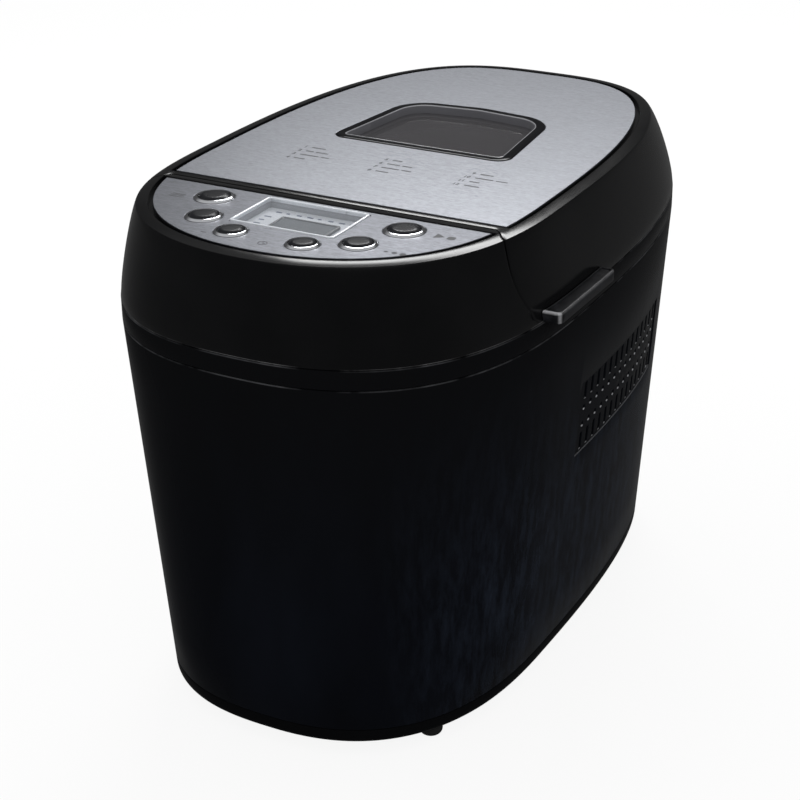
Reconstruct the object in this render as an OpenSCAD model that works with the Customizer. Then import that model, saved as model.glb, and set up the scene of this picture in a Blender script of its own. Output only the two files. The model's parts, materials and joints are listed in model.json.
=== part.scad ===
// Bread machine. A curved case on four feet carries a control panel with six sprung
// buttons and a hinged lid with a window. The oven chamber, the bread pan with its
// paddle, the belt drive and the electronics are inside.
// Millimetres. X runs to the right, Y from the panel to the rear, Z up from the floor.

/* [Case] */
// Greatest width of the case
case_w = 238; // [234:0.5:244]
// Length of the case from front to rear
case_l = 384.6; // [378:0.2:396]
// Distance of the widest station ahead of the middle
widest_ahead = 40.3; // [36:0.1:44]
// Wall of the moulded shells
case_wall = 2.5; // [2:0.1:3]
// Narrowing of each side from the band down to the base
base_side_in = 16.6; // [14:0.1:19]
// Narrowing of the front from the band down to the base
base_front_in = 12.9; // [10:0.1:16]
// Narrowing of the rear from the band down to the base
base_rear_in = 4.7; // [2:0.1:8]
// Squareness of the case's front across its width
front_square_x = 2.46; // [2.3:0.01:2.7]
// Squareness of the case's front along its length
front_square_y = 2.69; // [2.5:0.01:2.9]
// Squareness of the case's rear across its width
rear_square_x = 3.93; // [3.6:0.01:4.3]
// Squareness of the case's rear along its length
rear_square_y = 2.56; // [2.4:0.01:2.8]
// Height of the body shell
body_h = 203.9; // [200:0.1:212]
// Height of the band under the lid
band_h = 10.4; // [9:0.1:12]
// Open seam above and below the band
seam_gap = 0.3; // [0.2:0.05:0.4]

/* [Base] */
// Height of the base tray
tray_h = 9; // [8:0.5:11]
// Rounding of the bottom edge
edge_r = 3.5; // [3:0.5:6]
// Height of the feet
foot_h = 8; // [6:0.5:10]
// Radius of the feet
foot_r = 6.5; // [5:0.5:8]
// Distance of each front foot in from the side of the case
front_foot_side_in = 43; // [42:0.5:49]
// Distance of the front feet in from the front of the case
front_foot_in = 61.8; // [61.3:0.1:76]
// Distance of each rear foot in from the side of the case
rear_foot_side_in = 47; // [43:0.5:59]
// Distance of the rear feet in from the rear of the case
rear_foot_in = 58.3; // [54:0.1:72]
// Height of the chassis plate's underside above the base
chassis_rise = 24; // [23:0.5:27]
// Thickness of the chassis plate
chassis_t = 2; // [1.5:0.1:3]

/* [Top] */
// Height of the lid and of the control housing
top_h = 49.3; // [47:0.1:54]
// Distance of the steel plates inside the case at the front and the sides
shoulder_side = 18.4; // [17:0.1:20]
// Distance of the steel plates inside the case at the rear
shoulder_rear = 25.1; // [23:0.1:28]
// Width of the flat rim round the steel plates, out to its crease
rim_w = 8.9; // [8:0.1:10]
// Drop of the flat rim to its crease
rim_drop = 1; // [0.6:0.1:1.6]
// Power of the shoulder's curve
shoulder_power = 1.62; // [1.5:0.01:1.8]
// Height above the band at which the shoulder starts
shoulder_rise = 4.3; // [3:0.1:6]
// Thickness of the moulding under the steel plates
roof_t = 5.2; // [4.8:0.1:6]
// Thickness of the steel plates
plate_t = 1.2; // [0.8:0.1:1.6]
// Width of the dark groove round the plates
groove_w = 3; // [2:0.1:4]
// Depth of the dark groove
groove_d = 2.7; // [2:0.1:3.2]
// Distance of the lid's front seam ahead of the middle
seam_ahead = 95.7; // [94:0.1:97]
// Width of the lid's front seam
lid_gap = 1; // [0.8:0.1:1.4]
// Distance from the front seam to each steel plate
seam_rim = 6; // [5:0.1:7]
// Forward bulge of the seam at the lid's front corners
seam_dip = 10.8; // [8:0.1:12]
// Rearward sweep of the seam at its lower ends
seam_sweep = 8; // [6:0.1:9]

/* [Window] */
// Distance of the window's front edge behind the middle
window_behind = 0; // [-2:0.5:4]
// Length of the window frame
window_l = 84.7; // [80:0.1:88]
// Width of the window frame at the front
window_front_w = 109; // [104:0.5:112]
// Width between the window frame's rear corners
window_rear_w = 98; // [94:0.5:100]
// Bow of the window's rear edge
window_bow = 3; // [1:0.1:4]
// Radius of the window's front corners
window_front_r = 8; // [6:0.5:10]
// Radius of the window's rear corners
window_rear_r = 23; // [20:0.5:25]
// Width of the glossy frame
frame_w = 5.5; // [5:0.1:6.5]
// Width of the ledge that carries the outer glass
ledge_w = 6; // [5:0.1:7]
// Depth of that ledge below the plate
ledge_depth = 6.6; // [6:0.1:8]
// Thickness of both glasses
glass_t = 2.4; // [2:0.1:3]
// Depth of the inner glass below the plate
inner_glass_depth = 21.5; // [20:0.1:24]

/* [Panel] */
// Outer buttons: distance from the centre plane, as a share of the plate's half width
outer_button_side = 0.5547; // [0.53:0.0001:0.58]
// Outer buttons: distance ahead of the seam, as a share of the panel's depth
outer_button_ahead = 0.2737; // [0.26:0.0001:0.29]
// Outer buttons: radius of the ring, as a share of the panel's depth
outer_button_size = 0.1394; // [0.13:0.0001:0.15]
// Middle buttons: distance from the centre plane, as a share of the plate's half width
middle_button_side = 0.4443; // [0.43:0.0001:0.46]
// Middle buttons: distance ahead of the seam, as a share of the panel's depth
middle_button_ahead = 0.6151; // [0.6:0.0001:0.63]
// Middle buttons: radius of the ring, as a share of the panel's depth
middle_button_size = 0.1266; // [0.12:0.0001:0.13]
// Front buttons: distance from the centre plane, as a share of the plate's half width
front_button_side = 0.2048; // [0.18:0.0001:0.22]
// Front buttons: distance ahead of the seam, as a share of the panel's depth
front_button_ahead = 0.7724; // [0.76:0.0001:0.79]
// Front buttons: radius of the ring, as a share of the panel's depth
front_button_size = 0.1151; // [0.1:0.0001:0.12]
// Radius of a cap as a share of its ring
cap_share = 0.76; // [0.7:0.01:0.78]
// Height of the rings above the plate
ring_rise = 1.1; // [0.9:0.1:1.6]
// Travel of a button
button_travel = 1; // [0.6:0.1:1.2]
// Width of the display lens, as a share of the plate's half width
lens_across = 0.6004; // [0.58:0.0001:0.61]
// Length of the display lens, as a share of the panel's depth
lens_along = 0.4962; // [0.48:0.0001:0.5]
// Distance of the lens ahead of the seam, as a share of the panel's depth
lens_ahead = 0.1151; // [0.11:0.0001:0.13]
// Thickness of the lens
lens_t = 1.6; // [1.2:0.1:2]
// Depth of the display well under the lens
display_depth = 3.2; // [2.6:0.1:5]
// Width of the display glass, as a share of the lens
display_across = 0.563; // [0.5:0.001:0.6]
// Length of the display glass, as a share of the lens
display_along = 0.464; // [0.42:0.001:0.5]

/* [Grip and hinge] */
// Projection of the lid grip beyond the case
grip_out = 8.3; // [7:0.1:9]
// Length of the lid grip
grip_l = 70; // [64:0.5:76]
// Height of the lid grip
grip_h = 6.2; // [5:0.1:7]
// Distance of the grip's front end behind the front seam
grip_behind_seam = 10; // [8:0.5:14]
// Distance of the hinge axis behind the case
hinge_behind = 6.2; // [6:0.1:7]
// Radius of the hinge barrel
barrel_r = 5; // [4.5:0.1:5.5]
// Radius of the hinge pin
pin_r = 2; // [1.8:0.1:2.4]
// Length of the lid's hinge knuckle
knuckle_l = 50; // [44:0.5:56]
// Length of each ear of the hinge bracket
ear_l = 15; // [12:0.5:18]

/* [Oven] */
// Room between the oven chamber and each side of the case
oven_side_room = 35; // [34:0.5:37]
// Room between the oven chamber and the front of the case
oven_front_room = 117.3; // [116:0.1:119]
// Room between the oven chamber and the rear of the case
oven_rear_room = 45.3; // [44:0.1:47]
// Corner radius inside the chamber
chamber_r = 30; // [28:0.5:34]
// Sheet thickness of the chamber
chamber_t = 1.2; // [0.8:0.1:1.5]
// Width of the chamber's flange
flange_w = 8; // [6:0.5:9]
// Height of the chamber's underside above the chassis plate
chamber_rise = 22.8; // [22:0.1:25]
// Diameter of the heating element's tube
element_d = 6.5; // [6:0.1:7]
// Height of the heating element above the chamber floor
element_rise = 22; // [20:0.5:26]
// Distance of the element's centreline from the chamber wall
element_in = 8.5; // [8:0.1:9]
// Distance of each element terminal from the centre plane
terminal_x = 14; // [12:0.5:18]

/* [Bread pan] */
// Gap between the bread pan and each side of the chamber
pan_side_gap = 17; // [16:0.5:20]
// Gap between the bread pan and each end of the chamber
pan_end_gap = 19; // [18:0.5:22]
// Corner radius of the bread pan
pan_r = 24; // [20:0.5:28]
// Wall of the bread pan
pan_t = 1.6; // [1.2:0.1:2]
// Height of the bread pan from its floor to its rim
pan_h = 130.6; // [124:0.1:132]
// Width of the pan's rim
pan_rim_w = 4; // [3:0.1:4.5]
// Height of the ring under the pan
pan_base_h = 16.4; // [16:0.1:18]
// Outside radius of the ring under the pan
pan_base_r = 44; // [40:0.5:46]
// Diameter of the bail wire
bail_d = 4; // [3:0.1:4.2]
// Distance of the bail's far run in from the side of the pan
bail_in = 3; // [2:0.5:7]
// Length of the paddle's blade from its axis
paddle_reach = 38; // [32:0.5:44]
// Height of the paddle's blade
paddle_h = 38; // [30:0.5:44]

/* [Drive] */
// Radius of the drive and pan shafts
shaft_r = 4; // [3.5:0.1:4.5]
// Running clearance on shafts and pins
run_gap = 0.05; // [0.03:0.01:0.09]
// Radius of the large pulley under its belt
large_pulley_r = 52; // [48:0.5:54]
// Radius of the motor pulley under its belt
motor_pulley_r = 11; // [9:0.5:12]
// Width of the belt
belt_w = 8; // [6:0.5:9]
// Thickness of the belt
belt_t = 2; // [1.5:0.1:2.5]
// Distance of the motor's axis in from the front of the case
motor_in = 64.3; // [63:0.1:66]
// Radius of the motor
motor_r = 42; // [38:0.5:43]
// Height of the motor
motor_h = 62; // [56:0.5:68]
// Radius of the motor shaft
motor_shaft_r = 3; // [2.5:0.1:3.5]
// Radius of the cooling fan
fan_r = 30; // [26:0.5:34]

/* [Vents] */
// Number of vent columns on each side
vent_columns = 14; // [12:1:14]
// Distance from one vent hole to the next along a row
vent_pitch = 9.1; // [8.8:0.1:9.4]
// Distance from one vent row to the next
vent_row_pitch = 10.4; // [10:0.1:11]
// Length of the vent slots
vent_slot_l = 8; // [6:0.1:9]
// Width of the vent slots and diameter of the round holes
vent_hole_d = 2.6; // [2:0.1:3]
// Height of the middle of the vents above the base
vent_rise = 143.5; // [138:0.5:148]
// Distance of the middle of the vents behind the middle of the case
vent_behind = 39; // [36:0.5:42]

/* [Hidden] */
$fn = 48;

// Clearances and small named sizes
overlap = 1;
slip = 0.2;
seat = 0.3;
screw_r = 1.5;
screw_head_r = 3;
screw_head_h = 2;
boss_r = 4;
far = 300;

// Levels
base_z = foot_h;
body_z = base_z + tray_h;
body_top = body_z + body_h;
band_z = body_top + seam_gap;
band_top = band_z + band_h;
lid_z = band_top + seam_gap;
top_z = lid_z + top_h;
deck_t = 3;
deck_drop = 5.6;
deck_top = band_top - deck_drop;
deck_z = deck_top - deck_t;
tray_floor_t = 2.5;
tray_floor_z = base_z + tray_floor_t;
chassis_z = base_z + chassis_rise;
chassis_top = chassis_z + chassis_t;
chamber_z = chassis_top + chamber_rise;
chamber_floor_z = chamber_z + chamber_t;
roof_z = top_z - roof_t;
chamber_w = case_w - 2 * oven_side_room;
chamber_l = case_l - oven_front_room - oven_rear_room;
oven_behind = (oven_front_room - oven_rear_room) / 2;
pan_w = chamber_w - 2 * pan_side_gap;
pan_l = chamber_l - 2 * pan_end_gap;
bail_reach = pan_w / 2 - bail_in;
motor_ahead = case_l / 2 - motor_in;
front_foot_x = case_w / 2 - front_foot_side_in;
front_foot_ahead = case_l / 2 - front_foot_in;
rear_foot_x = case_w / 2 - rear_foot_side_in;
rear_foot_behind = case_l / 2 - rear_foot_in;

// Outlines: half width, reach ahead and reach behind the widest station
case_size = [case_w / 2, case_l / 2 - widest_ahead, case_l / 2 + widest_ahead];
base_size = case_size - [base_side_in, base_front_in, base_rear_in];
plate_size = case_size - [shoulder_side, shoulder_side, shoulder_rear];
case_square = [front_square_x, front_square_y, rear_square_x, rear_square_y];
plate_square = [2.11, 3.05, 3.2, 2.65];
panel_l = plate_size[1] + widest_ahead - seam_ahead;
lens_w = plate_size[0] * lens_across;
lens_l = panel_l * lens_along;
display_w = lens_w * display_across;
display_l = lens_l * display_along;
ring_points = 72;

function mix(a, b, share) = a + (b - a) * share;

function outline_point(angle, size, square) =
    let (behind = sin(angle) >= 0)
    let (reach = behind ? size[2] : size[1])
    let (power_x = 2 / (behind ? square[2] : square[0]))
    let (power_y = 2 / (behind ? square[3] : square[1]))
    [size[0] * sign(cos(angle)) * pow(abs(cos(angle)), power_x),
     reach * sign(sin(angle)) * pow(abs(sin(angle)), power_y) - widest_ahead];

function outline(size, square) =
    [for (i = [0:ring_points - 1]) outline_point(360 * i / ring_points, size, square)];

// The same outline moved outward by a distance
function grown(points, distance) =
    let (count = len(points))
    [for (i = [0:count - 1])
        let (along = points[(i + 1) % count] - points[(i + count - 1) % count])
        points[i] + distance * [along[1], -along[0]] / norm(along)];

case_ring = outline(case_size, case_square);
plate_ring = outline(plate_size, plate_square);

function body_ring(z, inset) =
    grown(outline(mix(base_size, case_size, (z - base_z) / (body_top - base_z)), case_square), -inset);

// A closed solid through rings of equal length, from the lowest to the highest
module loft(rings) {
    count = len(rings[0][0]);
    levels = len(rings);
    points = [for (ring = rings) for (p = ring[0]) [p[0], p[1], ring[1]]];
    sides = [for (j = [0:levels - 2]) for (i = [0:count - 1])
        let (a = j * count + i, b = j * count + (i + 1) % count)
        each [[a, a + count, b + count], [a, b + count, b]]];
    lower = [for (i = [0:count - 1]) i];
    upper = [for (i = [count - 1:-1:0]) (levels - 1) * count + i];
    polyhedron(points, concat([lower], sides, [upper]));
}

// Everything is drawn about the case's middle, then moved so that the origin is under
// the middle of the whole machine with its grip and hinge
module centred() {
    translate([-grip_out / 2, -(hinge_behind + barrel_r) / 2, 0]) children();
}

module prism(points, z, h) {
    translate([0, 0, z]) linear_extrude(h) polygon(points);
}

module rounded_rect(w, l, r) {
    square([w - 2 * r, l], center = true);
    square([w, l - 2 * r], center = true);
    for (x = [-1, 1], y = [-1, 1])
        translate([x * (w / 2 - r), y * (l / 2 - r)]) circle(r);
}

module block(w, l, h, r) {
    linear_extrude(h) rounded_rect(w, l, r);
}

module mirrored_x() {
    children();
    mirror([1, 0, 0]) children();
}

// A screw pointing up, with its head's top face at the origin's level
module screw_up(length) {
    cylinder(h = screw_head_h, r = screw_head_r);
    translate([0, 0, screw_head_h - overlap / 2]) cylinder(h = length + overlap / 2, r = screw_r);
}

// ---- Body and base ----

vent_w = vent_columns * vent_pitch + 6;
vent_h = 3 * vent_row_pitch + vent_slot_l + 5;
vent_z = base_z + vent_rise;
vent_recess = 0.6;
vent_lip = 3;
grille_t = 2;

module vent_box(extra) {
    translate([case_w / 4, vent_behind - vent_w / 2 - extra, vent_z - vent_h / 2 - extra])
        cube([case_w / 2, vent_w + 2 * extra, vent_h + 2 * extra]);
}

case_boss_r = 4.5;
case_boss_h = 22;
case_boss_side = 7.5;
front_boss_y = -60;
rear_boss_y = 70;

// Half width of the body's outside at a height and a distance behind the middle
function body_half_w(y, z) =
    let (size = mix(base_size, case_size, (z - base_z) / (body_top - base_z)))
    let (behind = y + widest_ahead >= 0)
    let (share = abs(y + widest_ahead) / (behind ? size[2] : size[1]))
    let (power_y = behind ? rear_square_y : front_square_y)
    let (power_x = behind ? rear_square_x : front_square_x)
    size[0] * pow(1 - pow(share, power_y), 1 / power_x);

function boss_x(y) = body_half_w(y, body_z) - case_wall - case_boss_side;

gland_z = base_z + 32;
gland_r = 6;
gland_y = body_rear_y(gland_z);

function body_rear_y(z) = mix(base_size[2], case_size[2], (z - base_z) / (body_top - base_z)) - widest_ahead;

module case_boss(y) {
    translate([boss_x(y), y, body_z]) cylinder(h = case_boss_h, r = case_boss_r);
    translate([boss_x(y), y - 1.5, body_z + 4]) cube([case_boss_side + case_wall / 2, 3, case_boss_h - 4]);
}

module body_shell() color("#0d1014") centred() difference() {
    union() {
        difference() {
            loft([for (z = [body_z, body_top]) [body_ring(z, 0), z]]);
            loft([for (z = [body_z - overlap, body_top + overlap]) [body_ring(z, case_wall), z]]);
        }
        mirrored_x() for (y = [front_boss_y, rear_boss_y]) case_boss(y);
    }
    mirrored_x() {
        vent_box(0);
        for (y = [front_boss_y, rear_boss_y])
            translate([boss_x(y), y, body_z - overlap])
                cylinder(h = case_boss_h - 2, r = screw_r + run_gap);
    }
    translate([0, gland_y - case_wall * 3, gland_z]) rotate([-90, 0, 0])
        cylinder(h = case_wall * 6, r = gland_r + slip);
}

module vent_holes() {
    for (i = [0:vent_columns - 1], j = [0:3])
        translate([case_w / 4, vent_behind + (i - (vent_columns - 1) / 2) * vent_pitch,
                   vent_z + (j - 1.5) * vent_row_pitch])
            rotate([0, 90, 0]) {
                cylinder(h = case_w / 2, d = vent_hole_d, $fn = 16);
                if (j == 0 || j == 3) {
                    translate([-vent_slot_l / 2, 0, 0]) cylinder(h = case_w / 2, d = vent_hole_d, $fn = 16);
                    translate([vent_slot_l / 2, 0, 0]) cylinder(h = case_w / 2, d = vent_hole_d, $fn = 16);
                    translate([-vent_slot_l / 2, -vent_hole_d / 2, 0])
                        cube([vent_slot_l, vent_hole_d, case_w / 2]);
                }
            }
}

// A slice of the body's wall between two depths, a little larger or smaller than the vents
module wall_slice(outer, inner, extra) {
    intersection() {
        difference() {
            loft([for (z = [vent_z - vent_h, vent_z + vent_h]) [body_ring(z, outer), z]]);
            loft([for (z = [vent_z - vent_h - overlap, vent_z + vent_h + overlap])
                [body_ring(z, inner), z]]);
        }
        vent_box(extra);
    }
}

module vent_grille() {
    difference() {
        union() {
            wall_slice(vent_recess, case_wall + slip + grille_t / 2, -slip);
            wall_slice(case_wall + slip, case_wall + slip + grille_t, vent_lip);
        }
        vent_holes();
    }
}

module vent_grille_right() color("#16181c") centred() vent_grille();

module vent_grille_left() color("#16181c") centred() mirror([1, 0, 0]) vent_grille();

// Places of the posts that carry the chassis plate
chassis_w = case_w - 82;
chassis_nose_w = 2 * motor_r + 12;
chassis_front = case_l / 2 - 28.3;
chassis_rear = oven_behind + chamber_l / 2 - 35;
chassis_wing = chamber_l / 2 - oven_behind + 29;
chassis_posts = [[chassis_w / 2 - 12, -62], [chassis_w / 2 - 12, chassis_rear - 16],
    [chassis_nose_w / 2 - 14, 16 - chassis_front]];
post_r = 5;

function foot_places() = [for (side = [-1, 1]) each [[side * front_foot_x, -front_foot_ahead],
    [side * rear_foot_x, rear_foot_behind]]];

module at_feet() {
    for (place = foot_places()) translate(place) children();
}

foot_stub_r = 3;
foot_stub_h = 4;
lip_gap = 0.3;
lip_t = 2;
lip_h = 5;

function edge_ring(turn) =
    let (z = base_z + edge_r * (1 - cos(turn)))
    [body_ring(z, edge_r * (1 - sin(turn))), z];

module base_tray() color("#101216") centred() difference() {
    union() {
        difference() {
            union() {
                loft(concat([for (turn = [0:22.5:90]) edge_ring(turn)], [[body_ring(body_z, 0), body_z]]));
                loft([for (z = [tray_floor_z, body_z + lip_h]) [body_ring(z, case_wall + lip_gap), z]]);
            }
            loft([for (z = [tray_floor_z, body_z + lip_h + overlap])
                [body_ring(z, case_wall + lip_gap + lip_t), z]]);
            mirrored_x() for (y = [front_boss_y, rear_boss_y])
                translate([boss_x(y) - case_boss_r - lip_gap, y - case_boss_r - lip_gap, body_z])
                    cube([case_w, 2 * (case_boss_r + lip_gap), lip_h + overlap]);
        }
        mirrored_x() {
            for (place = chassis_posts) translate([place[0], place[1], tray_floor_z - overlap])
                cylinder(h = chassis_z - tray_floor_z + overlap, r = post_r);
            for (y = [front_boss_y, rear_boss_y]) translate([boss_x(y), y, tray_floor_z - overlap])
                cylinder(h = body_z - tray_floor_z + overlap, r = case_boss_r);
        }
    }
    mirrored_x() {
        for (place = chassis_posts) translate([place[0], place[1], tray_floor_z + 2])
            cylinder(h = chassis_z, r = screw_r + run_gap);
        for (y = [front_boss_y, rear_boss_y]) translate([boss_x(y), y, base_z - overlap]) {
            cylinder(h = tray_h + 2 * overlap, r = screw_r + run_gap);
            cylinder(h = screw_head_h + overlap, r = screw_head_r + slip);
        }
    }
    at_feet() translate([0, 0, base_z - overlap])
        cylinder(h = overlap + tray_floor_t + overlap, r = foot_stub_r + run_gap);
}

module rubber_feet() color("#1a1a1a") centred() at_feet() {
    rotate_extrude() {
        translate([0, foot_r / 2]) square([foot_r, foot_h - foot_r / 2]);
        square([foot_r / 2, foot_r]);
        intersection() {
            translate([foot_r / 2, foot_r / 2]) circle(foot_r / 2);
            square(foot_r);
        }
    }
    translate([0, 0, base_z - overlap]) cylinder(h = foot_stub_h + overlap, r = foot_stub_r);
}

module case_screws() color("silver") centred() mirrored_x()
    for (y = [front_boss_y, rear_boss_y]) translate([boss_x(y), y, base_z])
        screw_up(tray_h - screw_head_h + case_boss_h - 4);

// ---- Deck under the lid ----

deck_wall = 3.5;
skirt_gap = 1.1;
skirt_t = 2;
skirt_h = 10;
bracket_y = case_l / 2 - 4.6;
bracket_w = knuckle_l + 2 * ear_l + 1;
bracket_z = band_z + 0.4;
power_board_w = 108;
power_board_l = panel_l * 0.716;
power_board_ahead = seam_ahead + 8.3 + power_board_l / 2;
power_standoff_h = 6;
power_screw_x = power_board_w / 2 - 5;
power_screw_y = power_board_l / 2 - 5;

module at_power_screws() {
    for (x = [-1, 1], y = [-1, 1])
        translate([x * power_screw_x, y * power_screw_y - power_board_ahead, 0]) children();
}

module top_deck() color("#14161a") centred() difference() {
    union() {
        difference() {
            prism(case_ring, band_z, band_h);
            prism(grown(case_ring, -deck_wall), band_z - overlap, band_h + 2 * overlap);
        }
        prism(grown(case_ring, -deck_wall + overlap), deck_z, deck_t);
        difference() {
            prism(grown(case_ring, -case_wall - skirt_gap), band_z - skirt_h,
                deck_z - band_z + skirt_h + overlap);
            prism(grown(case_ring, -case_wall - skirt_gap - skirt_t), band_z - skirt_h - overlap,
                deck_z - band_z + skirt_h + overlap);
        }
        at_power_screws() translate([0, 0, deck_z + overlap])
            cylinder(h = power_standoff_h + deck_t - overlap, r = boss_r);
    }
    translate([0, oven_behind, deck_z - overlap])
        block(chamber_w, chamber_l, deck_t + 2 * overlap, chamber_r);
    translate([-bracket_w / 2, bracket_y, band_z - overlap])
        cube([bracket_w, 40, band_h + 2 * overlap]);
    at_power_screws() translate([0, 0, deck_z - overlap])
        cylinder(h = far, r = screw_r + run_gap);
}

// ---- Lid and control housing ----

function shoulder_ring(turn, inset, ceiling) =
    let (rise = pow(cos(turn), shoulder_power), out = pow(sin(turn), shoulder_power))
    let (foot = lid_z + shoulder_rise)
    [mix(grown(plate_ring, rim_w - inset), grown(case_ring, -0.5 - inset), out),
     foot + (ceiling - foot) * rise];

shoulder_turns = [90:-15:0];

module top_solid() {
    loft(concat([[case_ring, lid_z]],
        [for (turn = shoulder_turns) shoulder_ring(turn, 0, top_z - rim_drop)],
        [[grown(plate_ring, groove_w), top_z]]));
}

module top_hollow() {
    loft(concat([[grown(case_ring, -case_wall), lid_z - overlap]],
        [for (turn = shoulder_turns) shoulder_ring(turn, case_wall, roof_z)]));
}

seam_y = -seam_ahead;
seam_bend = case_w / 2 - 23;
seam_run = 21;
seam_steps = 8;

function seam_point(i, shift) =
    let (u = i / seam_steps)
    [seam_bend + seam_run * u,
     seam_y + shift - seam_dip * sin(180 * pow(u, 1.2)) + seam_sweep * pow(u, 5)];

// Plan area behind the lid's front seam, with its outline moved back by shift
module lid_area(shift) {
    bend = [for (i = [0:seam_steps]) seam_point(i, shift)];
    right = concat(bend, [[far, bend[seam_steps][1]], [far, far]]);
    left = [for (i = [len(right) - 1:-1:0]) [-right[i][0], right[i][1]]];
    polygon(concat(right, left));
}

module lid_column(shift) {
    translate([0, 0, -far]) linear_extrude(3 * far) lid_area(shift);
}

module plates_area(distance) {
    polygon(distance == 0 ? plate_ring : grown(plate_ring, distance));
}

module behind(y) {
    translate([-far, y]) square([2 * far, far]);
}

module ahead_of(y) {
    translate([-far, y - far]) square([2 * far, far]);
}

least_corner_r = 3;
window_bow_r = 8;
lid_plate_y = seam_y + seam_rim;
control_plate_y = seam_y - seam_rim;
groove_front_w = 1.5;

module lid_plate_area() {
    intersection() {
        plates_area(0);
        behind(lid_plate_y);
    }
}

module control_plate_area() {
    intersection() {
        plates_area(0);
        ahead_of(control_plate_y);
    }
}

// Area of the window's outline moved outward by a distance
module window_area(distance) {
    front_r = max(window_front_r + distance, least_corner_r);
    rear_r = max(window_rear_r + distance, least_corner_r);
    front = window_behind - distance;
    rear = window_behind + window_l + distance;
    hull() {
        for (side = [-1, 1]) {
            translate([side * (window_front_w / 2 + distance - front_r), front + front_r])
                circle(front_r, $fn = 32);
            translate([side * (window_rear_w / 2 + distance - rear_r), rear - window_bow - rear_r])
                circle(rear_r, $fn = 32);
        }
        translate([0, rear - rear_r - window_bow_r]) circle(rear_r + window_bow_r, $fn = 64);
    }
}

liner_z = lid_z + 0.5;
liner_t = 2;
liner_top = liner_z + liner_t;
lid_boss_x = chamber_w / 2 - 10;
lid_boss_ys = [oven_behind - chamber_l / 2 + 13, oven_behind + chamber_l / 2 - 47];
lid_leaf_l = 22;
leaf_t = 3;
hinge_y = case_l / 2 + hinge_behind;
hinge_z = lid_z + 0.1;

module at_lid_bosses() {
    mirrored_x() for (y = lid_boss_ys) translate([lid_boss_x, y, 0]) children();
}

module lid_shell() color("#191a1e") centred() difference() {
    union() {
        difference() {
            intersection() {
                top_solid();
                lid_column(lid_gap / 2);
            }
            intersection() {
                top_hollow();
                lid_column(lid_gap / 2 + case_wall);
            }
        }
        at_lid_bosses() translate([0, 0, liner_top]) cylinder(h = roof_z - liner_top + overlap, r = boss_r);
    }
    translate([0, 0, top_z - plate_t]) linear_extrude(far) lid_plate_area();
    translate([0, 0, top_z - groove_d]) linear_extrude(far) difference() {
        intersection() {
            plates_area(groove_w);
            behind(lid_plate_y - groove_front_w);
        }
        lid_plate_area();
    }
    translate([0, 0, roof_z - overlap]) linear_extrude(far) window_area(-frame_inset + slip);
    at_lid_bosses() translate([0, 0, liner_top - overlap]) cylinder(h = 14, r = screw_r + run_gap);
    translate([-knuckle_l / 2 - seat, case_l / 2 - 20, liner_z - far])
        cube([knuckle_l + 2 * seat, 40, far + liner_t + leaf_t + seat]);
}

module lid_plate() color("#b4b6b8") centred() translate([0, 0, top_z - plate_t])
    linear_extrude(plate_t) difference() {
        lid_plate_area();
        window_area(slip);
    }

frame_inset = 2.2;
frame_rise = 0.4;
ledge_t = 2;

module window_frame() color("#0a0a0c") centred() difference() {
    union() {
        translate([0, 0, top_z - plate_t]) linear_extrude(plate_t + frame_rise) window_area(0);
        translate([0, 0, top_z - ledge_depth - ledge_t]) linear_extrude(ledge_depth + ledge_t)
            window_area(-frame_inset);
    }
    translate([0, 0, top_z - ledge_depth]) linear_extrude(far) window_area(-frame_w);
    linear_extrude(far * 2) window_area(-frame_w - ledge_w);
}

module window_glass() color("#30363c", 0.5) centred() translate([0, 0, top_z - ledge_depth])
    linear_extrude(glass_t) window_area(-frame_w - slip);

collar_in = frame_w + ledge_w + 0.5;
collar_t = 2;
collar_ledge = 3;
inner_glass_z = top_z - inner_glass_depth - glass_t;

module lid_liner() color("#8a8d90") centred() difference() {
    union() {
        translate([0, 0, liner_z]) linear_extrude(liner_t) intersection() {
            polygon(grown(case_ring, -case_wall - 0.5));
            lid_area(lid_gap / 2 + case_wall + 0.5);
        }
        translate([0, 0, liner_z]) linear_extrude(inner_glass_z + glass_t - liner_z) window_area(-collar_in);
    }
    translate([0, 0, liner_z - overlap]) linear_extrude(far)
        window_area(-collar_in - collar_t - collar_ledge);
    translate([0, 0, inner_glass_z]) linear_extrude(far) window_area(-collar_in - collar_t);
    at_lid_bosses() translate([0, 0, liner_z - overlap]) cylinder(h = far, r = screw_r + run_gap);
    translate([-knuckle_l / 2 - seat, case_l / 2 - 6, liner_z - overlap])
        cube([knuckle_l + 2 * seat, 10, far]);
}

module inner_glass() color("#30363c", 0.5) centred() translate([0, 0, inner_glass_z])
    linear_extrude(glass_t) window_area(-collar_in - collar_t - slip);

seal_in = 4;
seal_w = 6;

module lid_seal() color("#3a3a3c") centred() translate([0, oven_behind, deck_top + seat]) difference() {
    block(chamber_w + 2 * (seal_in + seal_w), chamber_l + 2 * (seal_in + seal_w), liner_z - deck_top - seat,
        chamber_r + seal_in + seal_w);
    translate([0, 0, -overlap]) block(chamber_w + 2 * seal_in, chamber_l + 2 * seal_in,
        liner_z - deck_top + overlap, chamber_r + seal_in);
}

module lid_screws() color("silver") centred() at_lid_bosses() translate([0, 0, liner_z - screw_head_h])
    screw_up(14);

grip_y = seam_y + grip_behind_seam;
grip_lip = 1.2;

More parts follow.
